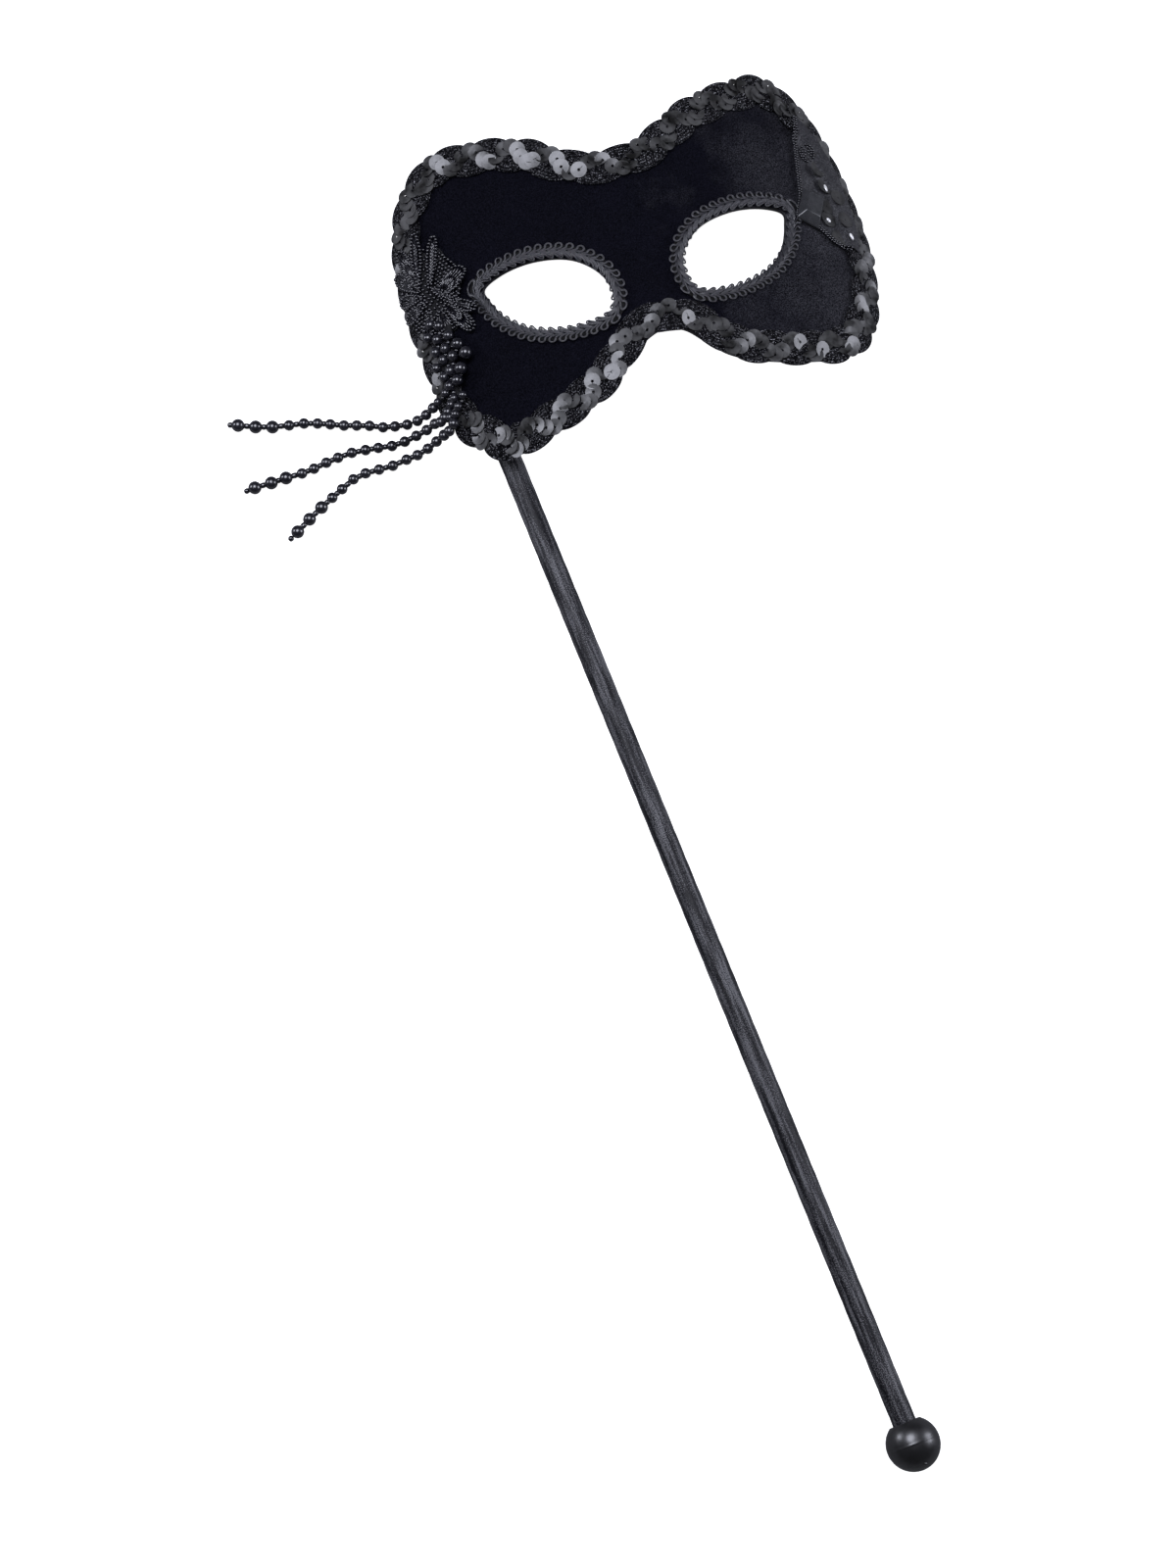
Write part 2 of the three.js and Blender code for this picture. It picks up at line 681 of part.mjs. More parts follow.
mask.add(piece("beaded_flower", beadedFlower(), PEARL_FINISH));
mask.add(piece("pearl_cluster", pearlCluster(), PEARL_FINISH));
for (const [name, points] of Object.entries(STRANDS)) {
  mask.add(piece(name, pearlStrand(points), PEARL_FINISH));
}

mask.add(piece("corner_patch", cornerPatch(), SATIN_FINISH));
mask.add(piece("patch_edging_upper", patchEdging(PATCH_TOP, PATCH_NEAR), PEARL_FINISH));
mask.add(piece("patch_edging_lower", patchEdging(PATCH_LOW, PATCH_FOOT), PEARL_FINISH));
mask.add(piece("faceted_stud", studShape(0, studBase, studTop, STUD_TABLE), STUD_FINISH));

const stickAxis = STICK_TOP.clone().sub(BALL_CENTRE).normalize();
const socketFloor = COLLAR_HEIGHT - SOCKET_DEPTH + FIT_GAP;
const stickFoot = BALL_CENTRE.clone().addScaledVector(stickAxis, socketFloor);
const stickLength = STICK_TOP.distanceTo(stickFoot);
const dowel = new THREE.CylinderGeometry(STICK_RADIUS, STICK_RADIUS, stickLength, STICK_SIDES);
dowel.translate(0, stickLength / 2, 0);
const ribbonProfile = [
  new THREE.Vector2(RIBBON_INNER, 0),
  new THREE.Vector2(RIBBON_OUTER, 0),
  new THREE.Vector2(RIBBON_OUTER, stickLength - 1),
  new THREE.Vector2(RIBBON_INNER, stickLength - 1),
  new THREE.Vector2(RIBBON_INNER, 0),
];
const ribbon = new THREE.LatheGeometry(ribbonProfile, STICK_SIDES);
const wand = new THREE.Group();
wand.add(piece("stick", alongStick(dowel, stickAxis, stickFoot), WOOD_FINISH));
wand.add(piece("ribbon_wrap", alongStick(ribbon, stickAxis, stickFoot), RIBBON_FINISH));
wand.add(piece("ball_finial", ballFinial(stickAxis), PEARL_FINISH));

const glueMiddle = STICK_TOP.clone().addScaledVector(stickAxis, -GLUE_LENGTH / 2 - GLUE_BACK);
mask.add(piece("glue_bed", glueBed(stickAxis, glueMiddle), GLUE_FINISH));

// The origin is under the middle of the whole thing, on the table
const whole = new THREE.Group();
whole.add(mask, wand);
const bounds = new THREE.Box3().setFromObject(whole, true);
const centre = bounds.getCenter(new THREE.Vector3());
whole.position.set(-centre.x, -centre.y, -bounds.min.z);

const part = new THREE.Group();
part.add(whole);

export default part;
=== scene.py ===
import math
import random
from contextlib import contextmanager

import bpy
import numpy as np
from mathutils import Matrix, Vector


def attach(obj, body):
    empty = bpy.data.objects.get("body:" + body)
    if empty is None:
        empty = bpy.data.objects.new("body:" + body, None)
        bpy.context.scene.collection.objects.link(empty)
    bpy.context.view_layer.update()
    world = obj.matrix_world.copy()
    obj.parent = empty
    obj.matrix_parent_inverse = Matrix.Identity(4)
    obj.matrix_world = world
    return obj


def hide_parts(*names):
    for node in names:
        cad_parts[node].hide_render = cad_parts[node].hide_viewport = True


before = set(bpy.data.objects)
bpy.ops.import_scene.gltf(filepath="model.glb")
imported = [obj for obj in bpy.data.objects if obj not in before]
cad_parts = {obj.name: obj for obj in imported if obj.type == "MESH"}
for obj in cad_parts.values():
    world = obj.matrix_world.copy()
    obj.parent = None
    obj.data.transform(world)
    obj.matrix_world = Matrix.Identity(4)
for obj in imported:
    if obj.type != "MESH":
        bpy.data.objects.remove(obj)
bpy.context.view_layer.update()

# The moulded half mask: a thin black plastic face that all the rest is sewn or glued to.
# Its pattern is laid out flat in millimetres, u round the face from the nose and v up it, and each piece
# of the mask is made on that pattern and then bent over the same form, leaning back as it lies.
FRONT_BEND = 0.0062
SIDE_BEND = 3.5e-7
BROW_CROWN = 0.00045
CROWN_LINE = -13.6
NOSE_RISE = 5.5
NOSE_HALF = 13
NOSE_START = -15.6
NOSE_EASE = 6
LIE_TILT = math.radians(3.4)
EYE_LINE_HEIGHT = 32.2
MIDDLE = (34.244, 179.306)
SHELL_TOP = -1.1
SHELL_THICK = 1.6
BRIDGE_STEPS = 14
EYE_STEPS = 161
ROWS_OUT = 34
RIM_POINTS = [
    (0, 44.4), (12, 46.6), (30, 57), (51, 63.6), (64.2, 64.7), (78.2, 52.4), (85.9, 33.7), (90.3, 12),
    (89.8, -8), (82.8, -29.5), (72, -42.6), (62.2, -46.9), (46.6, -46.8), (31.3, -44), (20.8, -39.7),
    (13.5, -33.2), (7.8, -28.3), (0, -26.4), (-7.8, -28.4), (-13.7, -32.9), (-21.1, -39.2), (-31, -44.7),
    (-46.4, -49.4), (-63.2, -51.4), (-73.4, -44.2), (-83.5, -29.8), (-86.6, -7.4), (-88.6, 12),
    (-87.8, 34), (-80, 53.8), (-64.4, 65.4), (-50.9, 64.8), (-29.4, 58.4), (-11.9, 46.9),
]
NOSE_TOP = np.array((0, 44.4))
NOSE_NOTCH = np.array((0, -26.4))
EYE_CENTRE = np.array((34.5, 0))
EYE_POINTS = [
    (23.4, 11.2), (16, 14), (2.5, 14.2), (-11.2, 9.8), (-19.4, 1), (-21, -8), (-18.6, -14), (-8.5, -15.6),
    (2.6, -13.6), (11, -9.4), (18.6, -1.6), (22.6, 7),
]


def skin(u, v):
    reach = np.abs(u)[..., None] * (np.arange(24) + 0.5) / 24
    turn = FRONT_BEND * reach + SIDE_BEND * reach**3
    nose = NOSE_RISE * np.exp(-((u / NOSE_HALF) ** 2)) / (1 + np.exp((v - NOSE_START) / NOSE_EASE))
    down = np.abs(u) * np.sin(turn).mean(-1) + BROW_CROWN * (v - CROWN_LINE) ** 2
    return np.stack([u * np.cos(turn).mean(-1), v, nose - down], -1)


def on_face(u, v, raised):
    u, v, raised = np.broadcast_arrays(*(np.asarray(a, float) for a in (u, v, raised)))
    along = skin(u + 0.5, v) - skin(u - 0.5, v)
    up = skin(u, v + 0.5) - skin(u, v - 0.5)
    out = np.cross(along, up)
    out /= np.linalg.norm(out, axis=-1, keepdims=True)
    x, y, z = np.moveaxis(skin(u, v) + out * raised[..., None], -1, 0)
    lean, back = math.cos(LIE_TILT), math.sin(LIE_TILT)
    height = z * lean - y * back + EYE_LINE_HEIGHT
    return np.stack([x + MIDDLE[0], y * lean + z * back + MIDDLE[1], height], -1) / 1000


def lengths_along(line):
    return np.concatenate([[0], np.cumsum(np.linalg.norm(np.diff(line, axis=0), axis=1))])


def spread_along(line, shares):
    line = np.array(line, float)
    length = lengths_along(line)
    return np.stack([np.interp(shares * length[-1], length, part) for part in line.T], -1)


def round_curve(points, count):
    fine = []
    share = np.linspace(0, 1, 60, endpoint=False)[:, None]
    points = np.array(points, float)
    for i in range(len(points)):
        a, b, c, d = (points[(i + k) % len(points)] for k in (-1, 0, 1, 2))
        before, here, after = (np.linalg.norm(q - p) ** 0.5 for p, q in ((a, b), (b, c), (c, d)))
        leave = ((b - a) / before - (c - a) / (before + here) + (c - b) / here) * here
        arrive = ((c - b) / here - (d - b) / (here + after) + (d - c) / after) * here
        square, cube = share**2, share**3
        fine.append(
            b * (2 * cube - 3 * square + 1) + leave * (cube - 2 * square + share)
            + c * (3 * square - 2 * cube) + arrive * (cube - square)
        )
    return spread_along(np.vstack(fine + [points[:1]]), np.linspace(0, 1, count, endpoint=False))


rim = round_curve(RIM_POINTS, 2400)
eye_edge = round_curve(EYE_POINTS, 1200) + EYE_CENTRE


def meet(edge, angle):
    away = edge - EYE_CENTRE
    side = away[:, 1] * math.cos(angle) - away[:, 0] * math.sin(angle)
    ahead = np.roll(away[:, 0] * math.cos(angle) + away[:, 1] * math.sin(angle), -1)
    after = np.roll(side, -1)
    hit = np.flatnonzero((side <= 0) & (after > 0) & (ahead > 0))[0]
    part = side[hit] / (side[hit] - after[hit])
    return edge[hit] * (1 - part) + edge[(hit + 1) % len(edge)] * part


def only(piece):
    bpy.ops.object.select_all(action="DESELECT")
    bpy.context.view_layer.objects.active = piece
    piece.select_set(True)
    return piece


def places_of(piece):
    places = np.empty(len(piece.data.vertices) * 3)
    piece.data.vertices.foreach_get("co", places)
    return places.reshape(-1, 3)


def move_to(piece, places):
    piece.data.vertices.foreach_set("co", np.ravel(places))
    piece.data.update()
    return piece


def lay_grid(name, places):
    rows, columns = places.shape[:2]
    bpy.ops.mesh.primitive_grid_add(x_subdivisions=columns - 1, y_subdivisions=rows - 1, size=1)
    piece = bpy.context.object
    piece.name = piece.data.name = name
    return move_to(piece, places)


@contextmanager
def editing(piece, kind="VERT", chosen=None):
    only(piece)
    bpy.ops.object.mode_set(mode="EDIT")
    bpy.ops.mesh.select_mode(type=kind)
    bpy.ops.mesh.select_all(action="DESELECT" if chosen else "SELECT")
    if chosen:
        bpy.ops.object.mode_set(mode="OBJECT")
        parts = {"VERT": piece.data.vertices, "EDGE": piece.data.edges, "FACE": piece.data.polygons}
        for part in parts[kind]:
            part.select = chosen(part)
        bpy.ops.object.mode_set(mode="EDIT")
    yield
    bpy.ops.object.mode_set(mode="OBJECT")


def sew_up(piece, distance=0.01):
    with editing(piece):
        bpy.ops.mesh.remove_doubles(threshold=distance)
    return piece


def work(piece, kind, **settings):
    only(piece)
    modifier = piece.modifiers.new(kind.title(), kind)
    for key, value in settings.items():
        setattr(modifier, key, value)
    bpy.ops.object.modifier_apply(modifier=modifier.name)
    return piece


def bend_over_face(piece):
    bent = on_face(*places_of(piece).T)
    bent[:, 2] = np.maximum(bent[:, 2], 0)
    return move_to(piece, bent)


def smooth(piece, degrees=180.0):
    only(piece)
    bpy.ops.object.shade_smooth_by_angle(angle=math.radians(degrees))
    return piece


def face_sheet(name, top, thick):
    halves = []
    for side in (1, -1):
        outline = rim * (side, 1)
        outline = outline[outline[:, 0] > 1e-6]
        if side > 0:
            outline = outline[::-1]
        outline = np.vstack([outline, NOSE_TOP, NOSE_NOTCH])
        start, stop = (math.atan2(*(p - EYE_CENTRE)[::-1]) for p in (NOSE_TOP, NOSE_NOTCH))
        angles = np.concatenate([
            np.linspace(start, stop + 2 * math.pi, BRIDGE_STEPS, endpoint=False),
            np.linspace(stop + 2 * math.pi, start + 2 * math.pi, EYE_STEPS),
        ])
        inner = np.array([meet(eye_edge, a) for a in angles])[:, None]
        outer = np.array([meet(outline, a) for a in angles])[:, None]
        outer[:BRIDGE_STEPS + 1, 0, 0] = 0
        outer[-1, 0, 0] = 0
        share = np.linspace(0, 1, ROWS_OUT)[None, :, None]
        places = (inner * (1 - share) + outer * share) * (side, 1)
        if side < 0:
            places = places[::-1]
        places = np.concatenate([places, np.full(places.shape[:2] + (1,), float(top))], -1)
        halves.append(lay_grid(name, places))
    only(halves[0])
    halves[1].select_set(True)
    bpy.ops.object.join()
    sheet = sew_up(halves[0])
    work(sheet, "SOLIDIFY", thickness=thick, offset=-1)
    work(sheet, "BEVEL", width=0.2, segments=2, limit_method="ANGLE", angle_limit=math.radians(60))
    return smooth(bend_over_face(sheet), 50)


def node(tree, kind, inputs=None, **settings):
    made = tree.nodes.new(kind)
    for key, value in settings.items():
        setattr(made, key, value)
    for key, value in (inputs or {}).items():
        if isinstance(value, bpy.types.NodeSocket):
            tree.links.new(value, made.inputs[key])
        else:
            made.inputs[key].default_value = value
    return made


def ramp(tree, value, low, dark, high, light):
    made = node(tree, "ShaderNodeValToRGB", {"Fac": value})
    for stop, at, shade in zip(made.color_ramp.elements, (low, high), (dark, light)):
        stop.position = at
        stop.color = (*shade, 1) if isinstance(shade, tuple) else (shade, shade, shade, 1)
    return made.outputs["Color"]


def maths(tree, operation, *values):
    return node(tree, "ShaderNodeMath", dict(enumerate(values)), operation=operation).outputs[0]


def mix(tree, share, first, second):
    return node(tree, "ShaderNodeMix", {0: share, 6: first, 7: second}, data_type="RGBA").outputs[2]


# Fine uneven grain, in millimetres, that moulded plastic, cloth, glue and beads all share.
grain = bpy.data.node_groups.new("Fine grain", "ShaderNodeTree")
grain.interface.new_socket("Place", in_out="INPUT", socket_type="NodeSocketVector")
grain.interface.new_socket("Size mm", in_out="INPUT", socket_type="NodeSocketFloat")
grain.interface.new_socket("Value", in_out="OUTPUT", socket_type="NodeSocketFloat")
grain_in = grain.nodes.new("NodeGroupInput")
per_metre = maths(grain, "DIVIDE", 1000.0, grain_in.outputs["Size mm"])
speckle = node(grain, "ShaderNodeTexNoise", {
    "Vector": grain_in.outputs["Place"], "Scale": per_metre, "Detail": 3.0, "Roughness": 0.6})
node(grain, "NodeGroupOutput", {"Value": speckle.outputs["Fac"]})


def grained(tree, place, size):
    return node(tree, "ShaderNodeGroup", {"Place": place, "Size mm": size}, node_tree=grain).outputs["Value"]


def bump(tree, height, deep):
    return node(tree, "ShaderNodeBump", {"Height": height, "Distance": deep / 1000}).outputs["Normal"]


# A finish: fixed values, then a colour and a roughness as (grain size, low, dark, high, light), and a relief
# as (grain size, depth).
def finish(name, values, colour=None, roughness=None, relief=None):
    material = bpy.data.materials.new(name)
    material.use_nodes = True
    tree, surface, place = workings(material)
    for key, value in values.items():
        surface[key].default_value = value
    for key, pattern in (("Base Color", colour), ("Roughness", roughness)):
        if pattern:
            size, low, dark, high, light = pattern
            tree.links.new(ramp(tree, grained(tree, place, size), low, dark, high, light), surface[key])
    if relief:
        size, deep = relief
        tree.links.new(bump(tree, grained(tree, place, size), deep), surface["Normal"])
    return material


def workings(material):
    tree = material.node_tree
    place = node(tree, "ShaderNodeTexCoord").outputs["Object"]
    return tree, tree.nodes["Principled BSDF"].inputs, place


plastic = finish(
    "Moulded plastic", {}, colour=(14, 0.3, (0.016, 0.016, 0.018), 0.75, (0.03, 0.03, 0.033)),
    roughness=(3, 0.3, 0.42, 0.7, 0.6), relief=(0.7, 0.08))
shell = face_sheet("moulded_shell", SHELL_TOP, SHELL_THICK)
shell.data.materials.append(plastic)
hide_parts("mask_shell")
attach(shell, "root")

# The velvet: a thin black cloth with a short pile, glued over the front of the shell. Its pile shows fine
# grey specks, painted paler toward the temple on the patch's side: a painted sheen for the light the pile
# catches there.
VELVET_THICK = 0.8

velvet = finish("Black velvet", {
    "Roughness": 0.95, "Specular IOR Level": 0.05, "Sheen Weight": 0.05, "Sheen Roughness": 0.26,
    "Sheen Tint": (0.85, 0.87, 1, 1)}, relief=(0.35, 0.2))
tree, surface, place = workings(velvet)
across = node(tree, "ShaderNodeSeparateXYZ", {"Vector": place})
# Painted sheen: the pile's specks get paler along object X, toward the temple on the patch's side.
painted_sheen_drift = maths(tree, "MULTIPLY_ADD", grained(tree, place, 26), 0.11, across.outputs["X"])
pile_with_painted_sheen = ramp(tree, painted_sheen_drift, 0.11, (0.013, 0.013, 0.022), 0.19, (0.16, 0.16, 0.178))
pile = ramp(tree, grained(tree, place, 0.4), 0.4, 0, 0.84, 1)
dark = ramp(tree, grained(tree, place, 12), 0.3, (0.0002, 0.0002, 0.001), 0.75, (0.001, 0.001, 0.003))
tree.links.new(mix(tree, pile, dark, pile_with_painted_sheen), surface["Base Color"])

cover = face_sheet("velvet_face", 0, VELVET_THICK)
cover.data.materials.append(velvet)
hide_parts("velvet_cover")
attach(cover, "root")

# The edge trim: a narrow braid of black lurex net, woven as fans that lean in from both its edges, sewn
# flat all round the rim so that its outer fans stand past it as scallops.
TRIM_BASE = 0.4
TRIM_OUTER = 0.2
TRIM_INNER = 7.8
TRIM_REACH = 10.8
FAN_RISE = 3
FAN_PAIRS = 35
FAN_START = 0.17
FAN_SHARE = 0.92
FAN_LONG = 10.7
FAN_THICK = 1.5
FAN_STEPS = 24
TRIM_ROWS = 20
ZIGZAG_MIDDLE = 3.9
ZIGZAG_SWING = 3.0


def length_of(edge):
    return np.linalg.norm(np.roll(edge, -1, 0) - edge, axis=1).sum()


def beside(edge, share, inward):
    along = np.roll(edge, -1, 0) - np.roll(edge, 1, 0)
    along /= np.linalg.norm(along, axis=1, keepdims=True)
    across = np.stack([along[:, 1], -along[:, 0]], -1)
    spot = (np.asarray(share) % 1) * len(edge)
    index = np.arange(len(edge) + 1)
    u, v, du, dv = (
        np.interp(spot, index, np.append(part[:, k], part[0, k])) for part in (edge, across) for k in (0, 1)
    )
    return u + du * inward, v + dv * inward


def fan_bulge(phase):
    away = np.abs(phase - np.round(phase)) * 2
    return np.sqrt(np.clip(1 - (away / FAN_SHARE) ** 2, 0, 1))


def mark(piece, name, values):
    layer = piece.data.uv_layers.new(name=name)
    corners = np.empty(len(piece.data.loops), int)
    piece.data.loops.foreach_get("vertex_index", corners)
    layer.data.foreach_set("uv", values.reshape(-1, 2)[corners].ravel())
    return piece


fan_length = length_of(rim) / FAN_PAIRS
share = np.linspace(0, 1, FAN_PAIRS * FAN_STEPS + 1)[:, None]
phase = share * FAN_PAIRS - FAN_START
tip = TRIM_OUTER - FAN_RISE * fan_bulge(phase)
depth = tip + (TRIM_INNER + FAN_RISE * fan_bulge(phase + 0.5) - tip) * np.linspace(0, 1, TRIM_ROWS)
u, v = beside(rim, share, depth)
is_outer = depth < ZIGZAG_MIDDLE + ZIGZAG_SWING * np.cos(2 * math.pi * phase)
off = np.where(is_outer, phase - np.round(phase), phase + 0.5 - np.round(phase + 0.5))
rise = np.where(is_outer, ZIGZAG_MIDDLE + ZIGZAG_SWING - depth, depth - ZIGZAG_MIDDLE + ZIGZAG_SWING)
row = np.hypot(off * fan_length, rise)
dome = np.sin(math.pi * np.clip(row / FAN_LONG, 0, 1)) ** 0.7
trim = lay_grid("lurex_trim", np.stack([u, v, TRIM_BASE + FAN_THICK * (0.3 + 0.7 * dome)], -1))
mark(trim, "rows", np.stack([np.arctan2(np.abs(off) * 15, rise + 1), row], -1))
sew_up(trim)
work(trim, "SOLIDIFY", thickness=0.5, offset=-1)
smooth(bend_over_face(trim), 60)

THREAD_SIZE = 0.28
BRIGHT_SHARE = 0.26
ROW_PITCH = 1.1
lurex = finish("Black lurex net", {"Roughness": 0.4, "Specular IOR Level": 0.08})
tree, surface, place = workings(lurex)
threads = node(tree, "ShaderNodeTexVoronoi", {"Vector": place, "Scale": 1000 / THREAD_SIZE})
chance = node(tree, "ShaderNodeSeparateColor", {"Color": threads.outputs["Color"]})
glint = maths(tree, "MULTIPLY", maths(tree, "GREATER_THAN", chance.outputs[0], 1 - BRIGHT_SHARE),
              chance.outputs[1])
woven = node(tree, "ShaderNodeUVMap", uv_map="rows").outputs[0]
rows = node(tree, "ShaderNodeSeparateXYZ", {"Vector": woven})
ridges = maths(tree, "SINE", maths(tree, "MULTIPLY", rows.outputs["Y"], 2 * math.pi / ROW_PITCH))
relief = maths(tree, "MULTIPLY_ADD", ridges, 0.4, threads.outputs["Distance"])
bright_rows = maths(tree, "MULTIPLY", glint, maths(tree, "MULTIPLY_ADD", ridges, 0.45, 0.55))
tree.links.new(mix(tree, bright_rows, (0.001, 0.001, 0.002, 1), (0.45, 0.45, 0.48, 1)),
               surface["Base Color"])
tree.links.new(bright_rows, surface["Metallic"])
tree.links.new(bump(tree, relief, 0.3), surface["Normal"])
trim.data.materials.append(lurex)
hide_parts("edge_trim")
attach(trim, "root")

# The sequins: small cupped grey discs of plastic, each sewn through its hole with one short stitch,
# lapping the last along a line that swings from side to side between the fans of the trim.
SEQUIN_RADIUS = 2.95
SEQUIN_HOLE = 0.55
SEQUIN_THICK = 0.12
SEQUIN_HEIGHT = 2.05
SEQUINS_TO_A_FAN = 6
SEQUIN_LEAN = math.radians(9)
SEQUIN_CUP = 0.1
CUP_SHARE = 0.6
STITCH_RADIUS = 0.06
STITCH_LONG = 1.7
CATCHING = (80, 83, 100, 112, 115, 184, 185, 196, 197, 198, 199, 202, 203, 205)
FACING = (Vector((-0.167, -0.1, 0.975)), Vector((0.485, -0.299, 0.822)))


def face_frame(u, v, raised, heading=0.0):
    du, dv = 0.5 * math.cos(heading), 0.5 * math.sin(heading)
    place = Vector(on_face(u, v, raised))
    ahead = Vector(on_face(u + du, v + dv, raised) - on_face(u - du, v - dv, raised)).normalized()
    out = (Vector(on_face(u, v, raised + 1)) - place).normalized()
    out = (out - ahead * out.dot(ahead)).normalized()
    return Matrix.Translation(place) @ Matrix((ahead, out.cross(ahead), out)).transposed().to_4x4()


def copies(piece, places):
    made = []
    for place in places:
        copy = piece.copy()
        copy.data = piece.data.copy()
        copy.data.transform(place)
        bpy.context.collection.objects.link(copy)
        made.append(copy)
    bpy.data.objects.remove(piece)
    return joined(made)


def joined(pieces):
    only(pieces[0])
    for piece in pieces:
        piece.select_set(True)
    bpy.ops.object.join()
    return pieces[0]


def sequin(radius, hole, cup):
    bpy.ops.mesh.primitive_circle_add(vertices=16, radius=radius, fill_type="NGON")
    disc = bpy.context.object
    with editing(disc, "FACE"):
        for size, inner in ((radius, radius * CUP_SHARE), (radius * CUP_SHARE, hole)):
            bpy.ops.mesh.inset(thickness=(size - inner) * math.cos(math.pi / 16), depth=-cup)
        bpy.ops.mesh.delete(type="FACE")
    work(disc, "SOLIDIFY", thickness=SEQUIN_THICK / 1000, offset=0)
    return smooth(disc, 40)


shades = random.Random(7)
disc = sequin(SEQUIN_RADIUS / 1000, SEQUIN_HOLE / 1000, SEQUIN_CUP / 1000)
bpy.ops.mesh.primitive_cylinder_add(
    vertices=5, radius=STITCH_RADIUS / 1000, depth=STITCH_LONG / 1000,
    location=(0.001, 0, 2 * STITCH_RADIUS / 1000), rotation=(0, math.pi / 2, 0))
stitch = bpy.context.object
bpy.ops.object.transform_apply()

film = finish("Sequin film", {"Roughness": 0.3, "Specular IOR Level": 0.7},
              colour=(7, 0.38, 0.006, 0.6, 0.08), relief=(2.5, 0.06))
disc.data.materials.append(film)
thread = finish("Black thread", {"Roughness": 0.8, "Specular IOR Level": 0.2},
                colour=(0.3, 0.35, 0.002, 0.7, 0.012))
stitch.data.materials.append(thread)
disc = joined([disc, stitch])

places = []
for i in range(round(FAN_PAIRS * SEQUINS_TO_A_FAN)):
    phase = i / SEQUINS_TO_A_FAN + shades.uniform(-0.02, 0.02)
    swing = ZIGZAG_MIDDLE + ZIGZAG_SWING * math.cos(2 * math.pi * phase)
    slope = ZIGZAG_SWING * math.sin(2 * math.pi * phase) * 2 * math.pi / fan_length
    share = (phase + FAN_START) / FAN_PAIRS
    u, v = beside(rim, share, swing)
    ahead = np.subtract(beside(rim, share + 0.001, swing), beside(rim, share - 0.001, swing))
    heading = math.atan2(ahead[1], ahead[0]) + math.atan(slope)
    tilt = Matrix.Rotation(SEQUIN_LEAN + shades.uniform(-0.08, 0.08), 4, "Y")
    roll = Matrix.Rotation(shades.uniform(-0.15, 0.15), 4, "X")
    place = face_frame(float(u), float(v), SEQUIN_HEIGHT, heading)
    if i in CATCHING:
        out = place.to_3x3().col[2]
        turned = out.rotation_difference(max(FACING, key=out.dot)).to_matrix() @ place.to_3x3()
        place = Matrix.Translation(place.translation + out * 0.0005) @ turned.to_4x4()
        tilt = roll = Matrix()
    places.append(place @ tilt @ roll)
sequins = copies(disc, places)
sequins.name = sequins.data.name = "sewn_sequins"
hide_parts("sequin_string")
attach(sequins, "root")

# The eye braid: black gimp sewn round each eye hole over its raw edge. Doubled cords slant off its middle to
# both sides, laid close as full leaves over the edge of the hole and curled into small rings away from it.
BRAID_CORE = 2.0
BRAID_TIP = 5.3
BRAID_BACK = 0.5
LEAF_PITCH = 3.4
CORD = 0.32
CORDS_HIGH = 1.25
RING_REACH = 3.9
RING = 1.1
RING_STEM = [(-3.8, 1.35, -0.25), (-2.9, 1.7, 0.1), (-1.6, 2.2, 0.15), (-0.45, 2.65, 0.1)]
RING_CLOSE = [(-1.5, 2.9, 0), (-2.6, 2.35, 0.05), (-3.6, 1.95, -0.25)]
LEAF = [
    (-3.6, 2.3, -0.25), (-2.5, 2.1, 0.3), (-1.2, 1.75, 0.32), (0.2, 1.2, 0.22), (1.2, 0.6, 0.05),
    (1.75, 0, -0.1), (1.5, -0.55, -0.25), (0.8, -0.6, -0.25), (0, -0.1, -0.15), (-1.1, 0.65, 0.05),
    (-2.4, 1.35, 0.15),
]
LEAF_MIDDLE = [(-2.5, 1.72, 0.2), (-0.9, 1.2, 0.25), (0.4, 0.55, 0.1), (1.0, 0.05, -0.1)]


def corded(name, runs, radius):
    curve = bpy.data.curves.new(name, "CURVE")
    curve.dimensions = "3D"
    curve.bevel_depth = radius
    curve.bevel_resolution = 1
    curve.resolution_u = 3
    curve.use_fill_caps = True
    for run in runs:
        spline = curve.splines.new("NURBS")
        spline.points.add(len(run) - 1)
        for point, place in zip(spline.points, run):
            point.co = (*place, 1)
        spline.order_u = 3
        spline.use_endpoint_u = True
    piece = bpy.data.objects.new(name, curve)
    bpy.context.collection.objects.link(piece)
    only(piece)
    bpy.ops.object.convert(target="MESH")
    return sew_up(bpy.context.object, radius / 1000)


def nearest(edge, u, v):
    away = np.array_split(np.stack([np.ravel(u), np.ravel(v)], -1), 40)
    gaps = [np.hypot(*(edge[None] - part[:, None]).transpose(2, 0, 1)).min(1) for part in away]
    return np.concatenate(gaps).reshape(np.shape(u))


eye_length = length_of(eye_edge)
leaves = round(eye_length / LEAF_PITCH)
pitch = eye_length / leaves
room = nearest(rim, eye_edge[:, 0], eye_edge[:, 1]) - TRIM_REACH - 0.3
squeeze = np.minimum(1, (room - BRAID_CORE) / (BRAID_TIP - BRAID_CORE))


def wrap_round_eye(piece):
    along, away, high = places_of(piece).T
    share = along / eye_length
    tight = np.interp((share % 1) * len(squeeze), np.arange(len(squeeze)), squeeze)
    away = np.where(away > BRAID_CORE, BRAID_CORE + (away - BRAID_CORE) * tight, away)
    u, v = beside(eye_edge, share, away)
    return move_to(piece, np.stack([u, v, high], -1))


def raised_cord(points):
    return [(along, away, CORDS_HIGH + high) for along, away, high in points]


